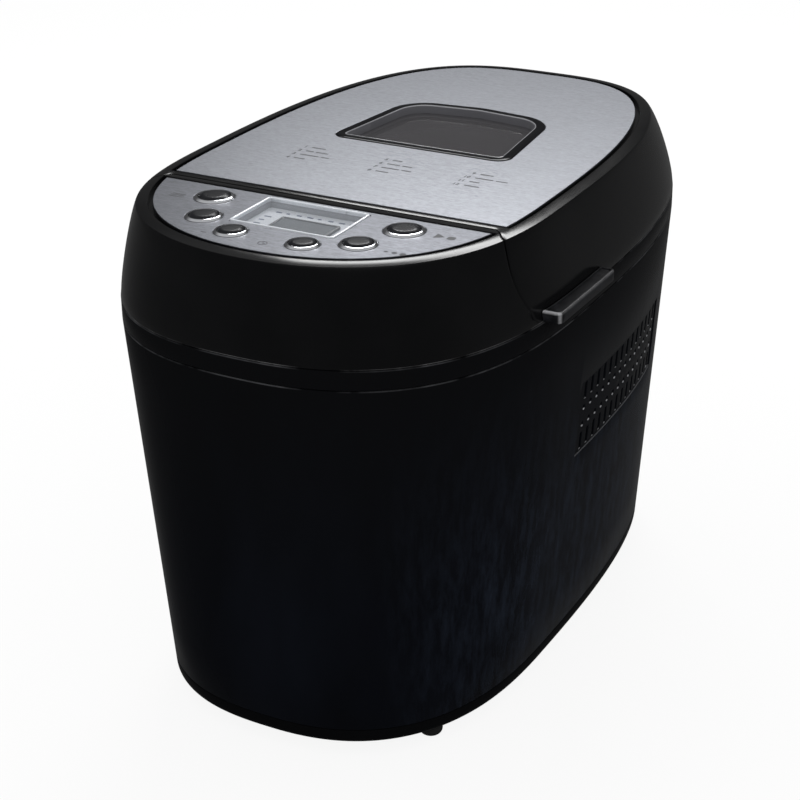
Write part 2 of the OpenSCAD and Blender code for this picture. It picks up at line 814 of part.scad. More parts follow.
module lid_grip() color("#5a5c60") centred() difference() {
    translate([case_w / 2 - 6, grip_y, lid_z + seam_gap]) difference() {
        translate([(grip_out + 6) / 2, grip_l / 2, 0]) block(grip_out + 6, grip_l, grip_h, 3.5);
        translate([(grip_out + 6) / 2, grip_l / 2, grip_h - 0.8])
            block(grip_out + 6 - 2 * grip_lip, grip_l - 2 * grip_lip, overlap, 2.3);
    }
    loft([[grown(case_ring, 0.1), lid_z - overlap], [grown(case_ring, 0.1), lid_z + shoulder_rise],
          [grown(case_ring, -0.3), lid_z + shoulder_rise + grip_h]]);
}

// ---- Hinge ----

module hinge_bracket() color("#202226") centred() difference() {
    union() {
        translate([-bracket_w / 2 + slip, bracket_y, bracket_z])
            cube([bracket_w - 2 * slip, hinge_y - barrel_r - 1.5 - bracket_y, band_h - 0.8]);
        mirrored_x() translate([knuckle_l / 2 + seat, 0, 0]) {
            translate([0, hinge_y, hinge_z]) rotate([0, 90, 0]) cylinder(h = ear_l, r = barrel_r);
            translate([0, bracket_y, bracket_z]) cube([ear_l, hinge_y - bracket_y, band_h - 0.8]);
        }
    }
    translate([-far / 2, hinge_y, hinge_z]) rotate([0, 90, 0]) cylinder(h = far, r = pin_r + run_gap);
}

module lid_hinge_knuckle() color("#202226") centred() difference() {
    union() {
        translate([-knuckle_l / 2, hinge_y, hinge_z]) rotate([0, 90, 0])
            cylinder(h = knuckle_l, r = barrel_r);
        translate([-knuckle_l / 2, hinge_y - hinge_behind - lid_leaf_l, liner_top])
            cube([knuckle_l, hinge_behind + lid_leaf_l, leaf_t]);
    }
    translate([-far / 2, hinge_y, hinge_z]) rotate([0, 90, 0]) cylinder(h = far, r = pin_r + run_gap);
}

module hinge_pin() color("silver") centred() translate([-knuckle_l / 2 - ear_l, hinge_y, hinge_z])
    rotate([0, 90, 0]) cylinder(h = knuckle_l + 2 * ear_l, r = pin_r);

// ---- Control panel ----

lens_y = seam_y - panel_l * lens_ahead - lens_l / 2;
board_z = top_z - 19.2;
board_t = 1.6;
switch_h = 3.5;
plunger_h = 1.2;
cap_rise = 1.9;
cap_slope_h = 1.1;
cap_flat = 0.72;

// Each button: distance from the centre plane, distance behind the middle, ring radius
function button_spot(side, across, ahead, size) =
    [side * plate_size[0] * across, seam_y - panel_l * ahead, panel_l * size];

button_spots = [
    button_spot(-1, outer_button_side, outer_button_ahead, outer_button_size),
    button_spot(-1, middle_button_side, middle_button_ahead, middle_button_size),
    button_spot(-1, front_button_side, front_button_ahead, front_button_size),
    button_spot(1, front_button_side, front_button_ahead, front_button_size),
    button_spot(1, middle_button_side, middle_button_ahead, middle_button_size),
    button_spot(1, outer_button_side, outer_button_ahead, outer_button_size)];

function cap_r(spot) = spot[2] * cap_share;

board_front_in = 4.2;
board_rear_in = 5.5;
board_front_y = seam_y - panel_l + board_front_in;
board_rear_y = seam_y - board_rear_in;
board_w = plate_size[0] * 1.43;
board_nose_w = plate_size[0] * 0.875;
board_side_l = panel_l * 0.41;
board_screws_at = [[board_w / 2 - 5, board_rear_y - 4.5], [board_nose_w / 2 - 7, board_front_y + 4.5]];

module at_board_screws() {
    mirrored_x() for (place = board_screws_at) translate([place[0], place[1], 0]) children();
}

module control_housing() color("#17181c") centred() difference() {
    union() {
        difference() {
            top_solid();
            difference() {
                top_hollow();
                lid_column(-lid_gap / 2 - case_wall);
            }
            lid_column(-lid_gap / 2);
        }
        at_board_screws() translate([0, 0, board_z + board_t])
            cylinder(h = roof_z - board_z - board_t + overlap, r = boss_r);
    }
    translate([0, 0, top_z - plate_t]) linear_extrude(far) control_plate_area();
    translate([0, 0, top_z - groove_d]) linear_extrude(far) difference() {
        intersection() {
            plates_area(groove_w);
            ahead_of(control_plate_y + groove_front_w);
        }
        control_plate_area();
    }
    for (spot = button_spots) translate([spot[0], spot[1], roof_z - overlap])
        cylinder(h = far, r = cap_r(spot) + seat);
    translate([0, lens_y, roof_z - overlap]) block(lens_w + 2 * slip, lens_l + 2 * slip, far, 1.2);
    at_board_screws() translate([0, 0, board_z - overlap]) cylinder(h = 11, r = screw_r + run_gap);
}

module control_plate() color("#b4b6b8") centred() translate([0, 0, top_z - plate_t]) difference() {
    linear_extrude(plate_t) control_plate_area();
    for (spot = button_spots) translate([spot[0], spot[1], -overlap])
        cylinder(h = far, r = spot[2] + run_gap);
    translate([0, lens_y, -overlap]) block(lens_w + 2 * slip, lens_l + 2 * slip, far, 1.2);
}

module button_rings() color("#d0d2d4") centred()
    for (spot = button_spots) translate([spot[0], spot[1], top_z - plate_t]) rotate_extrude()
        polygon([[cap_r(spot) + seat, 0], [spot[2], 0], [spot[2], plate_t + 0.3],
                 [cap_r(spot) + seat + 0.5, plate_t + ring_rise],
                 [cap_r(spot) + seat, plate_t + ring_rise]]);

flange_gap = 0.3;
flange_t = 1.5;
button_flange = 2;
stem_r = 2.5;

module button(spot) {
    flange_top = roof_z - flange_gap;
    stem_z = board_z + board_t + switch_h + plunger_h + button_travel + 0.1;
    translate([spot[0], spot[1], 0]) {
        translate([0, 0, flange_top - flange_t / 2])
            cylinder(h = top_z + cap_rise - cap_slope_h - flange_top + flange_t / 2, r = cap_r(spot));
        translate([0, 0, top_z + cap_rise - cap_slope_h])
            cylinder(h = cap_slope_h, r1 = cap_r(spot), r2 = cap_flat * cap_r(spot));
        translate([0, 0, flange_top - flange_t]) cylinder(h = flange_t, r = cap_r(spot) + button_flange);
        translate([0, 0, stem_z]) cylinder(h = flange_top - flange_t / 2 - stem_z, r = stem_r);
    }
}

module menu_button() color("#121214") centred() button(button_spots[0]);

module loaf_button() color("#121214") centred() button(button_spots[1]);

module timer_down_button() color("#121214") centred() button(button_spots[2]);

module timer_up_button() color("#121214") centred() button(button_spots[3]);

module colour_button() color("#121214") centred() button(button_spots[4]);

module start_stop_button() color("#121214") centred() button(button_spots[5]);

well_t = 1.5;
card_t = 0.8;
display_floor_t = 1;
lens_rise = 0.2;
well_z = top_z + lens_rise - lens_t - display_depth - card_t - display_floor_t;

module display_lens() color("#e6eef2", 0.35) centred()
    translate([0, lens_y, top_z + lens_rise - lens_t]) block(lens_w, lens_l, lens_t, 1);

module display_frame() color("#9a9ca0") centred() translate([0, lens_y, well_z]) difference() {
    block(lens_w, lens_l, display_depth + card_t + display_floor_t, 1);
    translate([0, 0, display_floor_t])
        block(lens_w - 2 * well_t, lens_l - 2 * well_t, display_depth + card_t + overlap, 0.6);
    translate([0, 0, -overlap]) block(display_w + 4, display_l + 4, far, 0.6);
}

module display_card() color("#f2f2f0") centred() translate([0, lens_y, well_z + display_floor_t])
    block(lens_w - 2 * well_t - 2 * slip, lens_l - 2 * well_t - 2 * slip, card_t, 0.5);

module display_glass() color("#aab4a2") centred()
    translate([0, lens_y, well_z + display_floor_t + card_t]) block(display_w, display_l, 1.2, 0.5);

module control_board() color("#1d5a34") centred() translate([0, 0, board_z]) difference() {
    linear_extrude(board_t) polygon([
        [-board_w / 2, board_rear_y], [-board_w / 2, board_rear_y - board_side_l],
        [-board_nose_w / 2, board_front_y], [board_nose_w / 2, board_front_y],
        [board_w / 2, board_rear_y - board_side_l], [board_w / 2, board_rear_y]]);
    at_board_screws() translate([0, 0, -overlap]) cylinder(h = 4, r = screw_r + run_gap);
}

module tact_switches() color("#303030") centred()
    for (spot = button_spots) translate([spot[0], spot[1], board_z + board_t]) {
        translate([-3, -3, 0]) cube([6, 6, switch_h]);
        translate([0, 0, switch_h - overlap]) cylinder(h = plunger_h + overlap, r = 1.7);
    }

power_board_z = deck_top + power_standoff_h;

module power_board() color("#1d5a34") centred() translate([0, -power_board_ahead, power_board_z]) {
    difference() {
        translate([-power_board_w / 2, -power_board_l / 2, 0]) cube([power_board_w, power_board_l, board_t]);
        for (x = [-1, 1], y = [-1, 1]) translate([x * power_screw_x, y * power_screw_y, -overlap])
            cylinder(h = 4, r = screw_r + run_gap);
    }
    translate([-36, -0.36 * power_board_l, board_t - overlap / 2])
        cube([36, 0.54 * power_board_l, 22 + overlap / 2]);
    translate([10, -0.39 * power_board_l, board_t - overlap / 2])
        cube([24, 0.21 * power_board_l, 14 + overlap / 2]);
    translate([14, 0.11 * power_board_l, board_t - overlap / 2]) cylinder(h = 18 + overlap / 2, r = 6);
    translate([32, 0.11 * power_board_l, board_t - overlap / 2]) cylinder(h = 14 + overlap / 2, r = 4);
    translate([-42, 0.25 * power_board_l, board_t - overlap / 2])
        cube([34, 0.14 * power_board_l, 10 + overlap / 2]);
}

module board_screws() color("silver") centred() {
    at_board_screws() translate([0, 0, board_z - screw_head_h]) screw_up(9);
    at_power_screws() translate([0, 0, power_board_z + board_t + screw_head_h])
        rotate([180, 0, 0]) screw_up(8);
}

// ---- Oven ----

element_z = chamber_floor_z + element_rise;
element_hx = chamber_w / 2 - element_in;
element_hy = chamber_l / 2 - element_in;
element_r = chamber_r - 4;
terminal_bend = 10;
coupling_hole_r = 16;

module at_oven() {
    translate([0, oven_behind, 0]) children();
}

sensor_y = 50;
sensor_z = element_z + 40;
sensor_r = 3;

module oven_chamber() color("#a8abae") centred() at_oven() difference() {
    union() {
        translate([0, 0, chamber_z])
            block(chamber_w + 2 * chamber_t, chamber_l + 2 * chamber_t, deck_z - chamber_z,
                chamber_r + chamber_t);
        translate([0, 0, deck_z - chamber_t])
            block(chamber_w + 2 * flange_w, chamber_l + 2 * flange_w, chamber_t, chamber_r + flange_w);
    }
    translate([0, 0, chamber_floor_z]) block(chamber_w, chamber_l, far, chamber_r);
    translate([0, 0, chamber_z - overlap]) cylinder(h = chamber_t + 2 * overlap, r = coupling_hole_r);
    mirrored_x() translate([terminal_x, 0, element_z]) rotate([90, 0, 0])
        cylinder(h = far, r = element_d / 2 + slip);
    translate([0, sensor_y, sensor_z]) rotate([0, 90, 0]) cylinder(h = far, r = sensor_r + slip);
}

module element_corner() {
    rotate_extrude(angle = 90) translate([element_r, 0]) circle(d = element_d);
}

module tube_x(x0, x1, y) {
    translate([x0, y, 0]) rotate([0, 90, 0]) cylinder(h = x1 - x0, d = element_d);
}

module tube_y(x, y0, y1) {
    translate([x, y0, 0]) rotate([-90, 0, 0]) cylinder(h = y1 - y0, d = element_d);
}

terminal_l = 9;

module heating_element() color("#6e7074") centred() at_oven() translate([0, 0, element_z]) {
    tube_x(-element_hx + element_r, element_hx - element_r, element_hy);
    mirrored_x() {
        tube_y(element_hx, -element_hy + element_r, element_hy - element_r);
        translate([element_hx - element_r, element_hy - element_r, 0]) element_corner();
        translate([element_hx - element_r, -element_hy + element_r, 0]) rotate(-90) element_corner();
        tube_x(terminal_x + terminal_bend, element_hx - element_r, -element_hy);
        translate([terminal_x + terminal_bend, -element_hy - terminal_bend, 0]) rotate(90)
            rotate_extrude(angle = 90) translate([terminal_bend, 0]) circle(d = element_d);
        tube_y(terminal_x, -chamber_l / 2 - chamber_t - terminal_l, -element_hy - terminal_bend);
    }
}

clip_t = 6;
clip_y = 55;

module element_clips() color("#b0b3b6") centred() at_oven() mirrored_x() for (y = [-clip_y, clip_y])
    difference() {
        translate([element_hx - element_d / 2 - 1, y - clip_t / 2, chamber_floor_z])
            cube([element_d + 2, clip_t, element_rise]);
        translate([element_hx, y - clip_t, element_z]) rotate([-90, 0, 0])
            cylinder(h = 2 * clip_t, r = element_d / 2 + run_gap);
    }

module temperature_sensor() color("#c0c2c4") centred() at_oven() translate([0, sensor_y, sensor_z])
    rotate([0, 90, 0]) {
        translate([0, 0, chamber_w / 2 - 12]) cylinder(h = 12 + chamber_t + 6, r = sensor_r);
        translate([0, 0, chamber_w / 2 + chamber_t]) cylinder(h = 1.5, r = sensor_r + 3);
    }

// ---- Bread pan ----

pan_z = chamber_floor_z + pan_base_h;
pan_floor_z = pan_z + pan_t;
pan_top = pan_z + pan_h;
bail_z = pan_top + bail_d / 2 + 0.2;
bail_y = pan_l / 2 - 2;
ear_t = 2;
ear_y = pan_l / 2 + 1;
ear_w = 14;
bearing_r = 9;

module bread_pan() color("#55585c") centred() at_oven() difference() {
    union() {
        translate([0, 0, pan_z]) block(pan_w, pan_l, pan_h, pan_r);
        translate([0, 0, pan_top - pan_t])
            block(pan_w + 2 * pan_rim_w, pan_l + 2 * pan_rim_w, pan_t, pan_r + pan_rim_w);
        for (side = [-1, 1]) translate([0, side * (ear_y + ear_t / 2), pan_top - pan_t / 2]) {
            translate([-ear_w / 2, -ear_t / 2, 0]) cube([ear_w, ear_t, bail_z - pan_top + pan_t / 2]);
            translate([0, ear_t / 2, bail_z - pan_top + pan_t / 2]) rotate([90, 0, 0])
                cylinder(h = ear_t, r = ear_w / 2);
        }
    }
    translate([0, 0, pan_floor_z]) block(pan_w - 2 * pan_t, pan_l - 2 * pan_t, pan_h, pan_r - pan_t);
    translate([0, 0, pan_z - overlap]) cylinder(h = pan_t + 2 * overlap, r = bearing_r + run_gap);
    translate([0, far / 2, bail_z]) rotate([90, 0, 0]) cylinder(h = far, r = bail_d / 2 + run_gap);
}

bail_bend = 8;
bail_pin_l = 4.5;

module bail_corner() {
    rotate_extrude(angle = 90) translate([bail_bend, 0]) circle(d = bail_d);
}

module pan_bail() color("#c4c6c8") centred() at_oven() translate([0, 0, bail_z]) {
    for (flip = [0, 1]) mirror([0, flip, 0]) {
        translate([0, bail_y, 0]) rotate([0, 90, 0]) cylinder(h = bail_reach - bail_bend, d = bail_d);
        translate([bail_reach - bail_bend, bail_y - bail_bend, 0]) bail_corner();
        translate([0, bail_y, 0]) rotate([-90, 0, 0]) cylinder(h = ear_t + bail_pin_l, d = bail_d);
        translate([0, bail_y, 0]) sphere(d = bail_d);
    }
    translate([bail_reach, -bail_y + bail_bend, 0]) rotate([-90, 0, 0])
        cylinder(h = 2 * (bail_y - bail_bend), d = bail_d);
}

base_ring_t = 4;
base_plate_t = 3;

module pan_base() color("#8c8f92") centred() at_oven() difference() {
    translate([0, 0, chamber_floor_z]) cylinder(h = pan_base_h, r = pan_base_r, $fn = 96);
    translate([0, 0, chamber_floor_z - overlap])
        cylinder(h = pan_base_h - base_plate_t + overlap, r = pan_base_r - base_ring_t, $fn = 96);
    translate([0, 0, chamber_floor_z]) cylinder(h = far, r = bearing_r + run_gap);
}

clip_w = 16;
clip_h = 12;

module pan_clips() color("#b0b3b6") centred() at_oven() translate([0, 0, chamber_floor_z])
    for (turn = [45:90:315]) rotate(turn) translate([pan_base_r + 0.2, -clip_w / 2, 0]) {
        cube([1, clip_w, clip_h]);
        cube([10, clip_w, 1]);
    }

pan_bearing_drop = 5;
pan_bearing_rise = 5;

module pan_bearing() color("#b08d4a") centred() at_oven() difference() {
    union() {
        translate([0, 0, pan_z - pan_bearing_drop])
            cylinder(h = pan_bearing_drop + pan_t + pan_bearing_rise, r = bearing_r);
        translate([0, 0, pan_floor_z]) cylinder(h = 2, r = bearing_r + 3);
    }
    cylinder(h = far, r = shaft_r + run_gap);
}

coupling_z = chamber_floor_z + 1;
coupling_r = 13;
coupling_h = 5;
lug_h = 5;
dog_h = 4;
dog_w = 5;
paddle_z = pan_floor_z + pan_bearing_rise + 0.5;
hub_r = 8;
hub_h = 26;

module pan_shaft() color("#c4c6c8") centred() at_oven() {
    translate([0, 0, coupling_z + coupling_h + 0.5]) {
        translate([-coupling_r + 1, -dog_w / 2, 0]) cube([2 * coupling_r - 2, dog_w, dog_h]);
        cylinder(h = paddle_z + hub_h - 2 - coupling_z - coupling_h - 0.5, r = shaft_r);
    }
}

module kneading_paddle() color("#55585c") centred() at_oven() translate([0, 0, paddle_z]) difference() {
    union() {
        cylinder(h = hub_h, r = hub_r);
        difference() {
            linear_extrude(paddle_h) polygon([[0, -hub_r + 1], [paddle_reach - 8, -2.5],
                [paddle_reach, -1.5],
                [paddle_reach, 1.5], [paddle_reach - 10, 2.5], [0, hub_r - 1]]);
            translate([0, far / 2, paddle_h + 30]) rotate([90, 0, 0]) cylinder(h = far, r = 42, $fn = 96);
        }
    }
    translate([0, 0, -overlap]) cylinder(h = hub_h - 1, r = shaft_r + run_gap);
}

// ---- Drive ----

module drive_coupling() color("#8c8f92") centred() at_oven() difference() {
    translate([0, 0, coupling_z]) {
        cylinder(h = coupling_h, r = coupling_r);
        for (turn = [0, 180]) rotate(turn) intersection() {
            translate([3, dog_w / 2 + slip, coupling_h - overlap]) cube([8, 6, lug_h + overlap]);
            cylinder(h = far, r = coupling_r);
        }
    }
    cylinder(h = coupling_z + coupling_h - 2, r = shaft_r + run_gap);
}

pulley_flange = 3;
pulley_flange_t = 2;
belt_gap = 0.15;
pulley_z = tray_floor_z + 4.5;
belt_z = pulley_z + pulley_flange_t + belt_gap * 2;
pulley_h = belt_w + 2 * pulley_flange_t + 4 * belt_gap;
drive_shaft_z = tray_floor_z + 1;

module drive_shaft() color("#c4c6c8") centred() at_oven() translate([0, 0, drive_shaft_z])
    cylinder(h = coupling_z + coupling_h - 2.1 - drive_shaft_z, r = shaft_r);

drive_bearing_r = 12;
bearing_flange_r = 26;
bearing_flange_t = 3;

module drive_bearing() color("#9a9ca0") centred() at_oven() difference() {
    union() {
        translate([0, 0, chassis_z - 1]) cylinder(h = chamber_z - chassis_z, r = drive_bearing_r);
        translate([0, 0, chassis_top]) cylinder(h = bearing_flange_t, r = bearing_flange_r);
    }
    cylinder(h = far, r = shaft_r + run_gap);
    for (turn = [45:90:315]) rotate(turn) translate([bearing_flange_r - 6, 0, 0])
        cylinder(h = far, r = screw_r + run_gap);
}

module pulley(r, bore) {
    difference() {
        union() {
            cylinder(h = pulley_h, r = r, $fn = 96);
            cylinder(h = pulley_flange_t, r = r + pulley_flange, $fn = 96);
            translate([0, 0, pulley_h - pulley_flange_t])
                cylinder(h = pulley_flange_t, r = r + pulley_flange, $fn = 96);
        }
        translate([0, 0, -overlap]) cylinder(h = pulley_h + 2 * overlap, r = bore);
    }
}

module large_pulley() color("#d8d6ce") centred() at_oven() translate([0, 0, pulley_z]) difference() {
    pulley(large_pulley_r, shaft_r + run_gap);
    for (turn = [0:60:300]) rotate(turn) translate([large_pulley_r * 0.58, 0, -overlap])
        cylinder(h = pulley_h + 2 * overlap, r = large_pulley_r * 0.2);
}

module motor_pulley() color("#8c8f92") centred() translate([0, -motor_ahead, pulley_z])
    pulley(motor_pulley_r, motor_shaft_r + run_gap);

belt_span = oven_behind + motor_ahead;

// Area inside a belt line round both pulleys, a distance out from their rims
module belt_area(distance) {
    rear_r = large_pulley_r + distance;
    front_r = motor_pulley_r + distance;
    lean = asin((rear_r - front_r) / belt_span);
    translate([0, oven_behind]) circle(rear_r, $fn = 96);
    translate([0, -motor_ahead]) circle(front_r, $fn = 96);
    polygon([
        [rear_r * cos(lean), oven_behind - rear_r * sin(lean)],
        [-rear_r * cos(lean), oven_behind - rear_r * sin(lean)],
        [-front_r * cos(lean), -motor_ahead - front_r * sin(lean)],
        [front_r * cos(lean), -motor_ahead - front_r * sin(lean)]]);
}

module drive_belt() color("#1c1c1c") centred()
    translate([0, 0, belt_z]) linear_extrude(belt_w) difference() {
    belt_area(belt_gap + belt_t);
    belt_area(belt_gap);
}

motor_z = chassis_top;

module at_motor() {
    translate([0, -motor_ahead, 0]) children();
}

motor_bell_h = 14;
motor_bell_in = 6;

module motor() color("#77797c") centred() at_motor() translate([0, 0, motor_z]) difference() {
    union() {
        cylinder(h = motor_h, r = motor_r - motor_bell_in);
        translate([0, 0, motor_bell_h]) cylinder(h = motor_h - 2 * motor_bell_h, r = motor_r);
        mirrored_x() translate([motor_r - motor_bell_in - 2, -6, 0]) cube([12, 12, 4]);
    }
    translate([0, 0, -overlap]) cylinder(h = far, r = motor_shaft_r + run_gap);
    mirrored_x() translate([motor_r - motor_bell_in + 6, 0, -overlap])
        cylinder(h = 8, r = screw_r + run_gap);
}

fan_z = motor_z + motor_h + 3;
fan_h = 9;
fan_hub_r = 8;
fan_blades = 7;

module motor_shaft() color("#c4c6c8") centred() at_motor() translate([0, 0, pulley_z - 1])
    cylinder(h = fan_z + fan_h + 2 - pulley_z + 1, r = motor_shaft_r);

module motor_fan() color("#2c3e50") centred() at_motor() translate([0, 0, fan_z]) difference() {
    union() {
        cylinder(h = fan_h, r = fan_hub_r);
        cylinder(h = 1.2, r = fan_r);
        for (i = [0:fan_blades - 1]) rotate(i * 360 / fan_blades) translate([fan_hub_r - 1, -0.8, 0.6])
            cube([fan_r - fan_hub_r - 1, 1.6, fan_h - 1.6]);
    }
    translate([0, 0, -overlap]) cylinder(h = far, r = motor_shaft_r + run_gap);
}

leg_x = chamber_w / 2 - 28;
leg_y = chamber_l / 2 - 45;
leg_places = [[leg_x, -leg_y], [leg_x, leg_y]];
leg_r = 5;

module chassis_plate() color("#a0a3a6") centred() difference() {
    union() {
        translate([0, (chassis_rear - chassis_wing) / 2, chassis_z])
            block(chassis_w, chassis_rear + chassis_wing, chassis_t, 14);
        translate([0, -(chassis_front + chassis_wing - 24) / 2, chassis_z])
            block(chassis_nose_w, chassis_front - chassis_wing + 24, chassis_t, 34);
        mirrored_x() for (place = leg_places)
            translate([place[0], place[1] + oven_behind, chassis_top - overlap])
            cylinder(h = chamber_z - chassis_top + overlap, r = leg_r);
    }
    at_oven() translate([0, 0, chassis_z - overlap]) cylinder(h = 4, r = drive_bearing_r + slip);
    at_motor() translate([0, 0, chassis_z - overlap]) cylinder(h = 4, r = motor_shaft_r + 3);
    mirrored_x() {
        for (place = chassis_posts) translate([place[0], place[1], chassis_z - overlap])
            cylinder(h = 4, r = screw_r + run_gap);
        translate([motor_r - motor_bell_in + 6, -motor_ahead, chassis_z - overlap])
            cylinder(h = 4, r = screw_r + run_gap);
    }
    at_oven() for (turn = [45:90:315]) rotate(turn) translate([bearing_flange_r - 6, 0, chassis_z - overlap])
        cylinder(h = 4, r = screw_r + run_gap);
}

module chassis_screws() color("silver") centred() {
    mirrored_x() {
        for (place = chassis_posts) translate([place[0], place[1], chassis_top + screw_head_h])
            rotate([180, 0, 0]) screw_up(12);
        translate([motor_r - motor_bell_in + 6, -motor_ahead, chassis_top + 4 + screw_head_h])
            rotate([180, 0, 0]) screw_up(7);
    }
    at_oven() for (turn = [45:90:315]) rotate(turn)
        translate([bearing_flange_r - 6, 0, chassis_top + bearing_flange_t + screw_head_h])
            rotate([180, 0, 0]) screw_up(6);
}

capacitor_at = [chassis_w / 2 - 15, 12 - chassis_wing];

module motor_capacitor() color("#d8d8d4") centred()
    translate([capacitor_at[0], capacitor_at[1], chassis_top]) block(22, 20, 30, 2);

module cord_inlet() color("#1a1a1a") centred() translate([0, gland_y, gland_z]) rotate([-90, 0, 0])
    difference() {
        union() {
            translate([0, 0, 0.3]) cylinder(h = 2.2, r = gland_r + 3);
            translate([0, 0, -9]) cylinder(h = 10, r = gland_r);
            translate([0, 0, -case_wall - 3.5]) cylinder(h = 3, r = gland_r + 2);
        }
        translate([0, 0, -10]) cylinder(h = 20, r = 3.5);
    }

body_shell();
vent_grille_right();
vent_grille_left();
base_tray();
rubber_feet();
top_deck();
control_housing();
control_plate();
menu_button();
loaf_button();
timer_down_button();
timer_up_button();
colour_button();
start_stop_button();
button_rings();
display_lens();
display_frame();
display_card();
display_glass();
control_board();
tact_switches();
lid_shell();
lid_plate();
window_frame();
window_glass();
lid_liner();
inner_glass();
lid_seal();
lid_grip();
hinge_bracket();
lid_hinge_knuckle();
hinge_pin();
oven_chamber();
heating_element();
element_clips();
temperature_sensor();
bread_pan();
pan_bail();
pan_base();
pan_clips();
pan_bearing();
pan_shaft();
kneading_paddle();
drive_coupling();
drive_shaft();
drive_bearing();
large_pulley();
drive_belt();
motor_pulley();
motor();
motor_shaft();
motor_fan();
chassis_plate();
motor_capacitor();
power_board();
cord_inlet();
case_screws();
board_screws();
chassis_screws();
lid_screws();
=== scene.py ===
import json
import math

import bmesh
import bpy
from mathutils import Matrix, Vector


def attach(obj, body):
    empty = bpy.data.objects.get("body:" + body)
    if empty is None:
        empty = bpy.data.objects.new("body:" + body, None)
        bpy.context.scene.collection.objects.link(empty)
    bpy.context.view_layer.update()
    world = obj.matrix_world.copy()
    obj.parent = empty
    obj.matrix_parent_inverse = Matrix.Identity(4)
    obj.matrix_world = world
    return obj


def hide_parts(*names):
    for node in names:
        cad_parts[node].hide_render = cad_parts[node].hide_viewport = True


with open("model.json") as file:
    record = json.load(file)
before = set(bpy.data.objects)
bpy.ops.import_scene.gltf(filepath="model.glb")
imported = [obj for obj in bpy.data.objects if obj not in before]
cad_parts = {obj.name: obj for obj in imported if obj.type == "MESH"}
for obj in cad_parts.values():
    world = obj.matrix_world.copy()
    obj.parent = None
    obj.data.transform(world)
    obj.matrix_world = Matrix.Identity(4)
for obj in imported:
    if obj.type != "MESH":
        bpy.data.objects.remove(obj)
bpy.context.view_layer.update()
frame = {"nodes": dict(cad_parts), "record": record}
print("frame loaded")

mm = 0.001
caseMiddle = (-4.15, -5.6)  # the middle of the case in the frame, in mm


def spot(x, y, z):
    return Vector(((x + caseMiddle[0]) * mm, (y + caseMiddle[1]) * mm, z * mm))


def mix(a, b, share):
    return a + (b - a) * share


def placed(name, data):
    thing = bpy.data.objects.new(name, data)
    bpy.context.scene.collection.objects.link(thing)
    return thing


cameraSet = {
    "lens": 88.85,
    "sensor": 36.0,
    "farthest": 50,
    "place": (0.489268, -0.927149, 0.618973),
    "right": (0.879268, 0.476188, -0.011518),
    "up": (-0.193223, 0.378675, 0.905135),
    "back": (0.435376, -0.793631, 0.424968),
}


def addCamera():
    data = bpy.data.cameras.new("camera")
    data.lens = cameraSet["lens"]
    data.sensor_width = cameraSet["sensor"]
    data.clip_end = cameraSet["farthest"]
    camera = placed("camera", data)
    turn = Matrix((cameraSet["right"], cameraSet["up"], cameraSet["back"])).transposed()
    camera.matrix_world = Matrix.Translation(cameraSet["place"]) @ turn.to_4x4()
    bpy.context.scene.camera = camera


addCamera()
print("camera set")


class Wire:  # one output socket, so that shader sums read as plain maths
    def __init__(self, socket):
        self.socket = socket

    def make(self, kind, settings=None, inputs=None, output=0):
        return make(self.socket.id_data, kind, settings, inputs, output)

    def sum(self, operation, *others):
        return self.make("ShaderNodeMath", {"operation": operation}, dict(enumerate((self, *others))))

    def __add__(self, other):
        return self.sum("ADD", other)

    def __sub__(self, other):
        return self.sum("SUBTRACT", other)

    def __mul__(self, other):
        return self.sum("MULTIPLY", other)

    def blend(self, low, high):  # two colours, this value as the share of the second
        inputs = {0: self, 6: colour(low), 7: colour(high)}
        return self.make("ShaderNodeMix", {"data_type": "RGBA"}, inputs, 2)

    def span(self, low, high, start=0.0, end=1.0):
        return self.make("ShaderNodeMapRange", {}, {0: self, 1: low, 2: high, 3: start, 4: end})

    def part(self, axis):
        return self.make("ShaderNodeSeparateXYZ", {}, {0: self}, "XYZ".index(axis))

    def stretch(self, x, y, z):
        return self.make("ShaderNodeMapping", {}, {"Vector": self, "Scale": (x, y, z)})

    def noise(self, scale, detail, roughness=0.5):
        inputs = {"Vector": self, "Scale": scale, "Detail": detail, "Roughness": roughness}
        return self.make("ShaderNodeTexNoise", {}, inputs)

    def bump(self, strength, distance):
        inputs = {"Height": self, "Strength": strength, "Distance": distance}
        return self.make("ShaderNodeBump", {}, inputs)


def colour(value):
    return value if isinstance(value, Wire) else (*value, 1.0)


def shades(shade, low, high):  # a darker and a lighter tone of one colour
    return [c * low for c in shade], [c * high for c in shade]


def make(tree, kind, settings=None, inputs=None, output=0):
    node = tree.nodes.new(kind)
    for key, value in (settings or {}).items():
        setattr(node, key, value)
    for key, value in (inputs or {}).items():
        if isinstance(value, Wire):
            tree.links.new(node.inputs[key], value.socket)
        else:
            node.inputs[key].default_value = value
    return Wire(node.outputs[output])


def bareTree(owner):
    owner.use_nodes = True
    owner.node_tree.nodes.clear()
    return owner.node_tree


def shown(tree, shader, kind="ShaderNodeOutputMaterial"):
    out = tree.nodes.new(kind)
    tree.links.new(out.inputs["Surface"], shader.socket)


def surface(name, recipe):
    material = bpy.data.materials.new(name)
    tree = bareTree(material)
    here = make(tree, "ShaderNodeTexCoord", output=3)
    shown(tree, make(tree, "ShaderNodeBsdfPrincipled", {}, recipe(here)))
    return material


def plastic(shade, gloss, grain, specular=0.3, size=900):
    def recipe(here):
        cloud = here.noise(14, 4)
        fine = here.noise(size, 2)
        tone = cloud.span(0.3, 0.7)
        return {
            "Base Color": tone.blend(*shades(shade, 0.86, 1.14)),
            "Roughness": cloud.span(0.3, 0.7, gloss * 0.85, gloss * 1.2) + fine * 0.02,
            "Specular IOR Level": specular,
            "Normal": fine.bump(grain, 0.0002),
        }
    return recipe


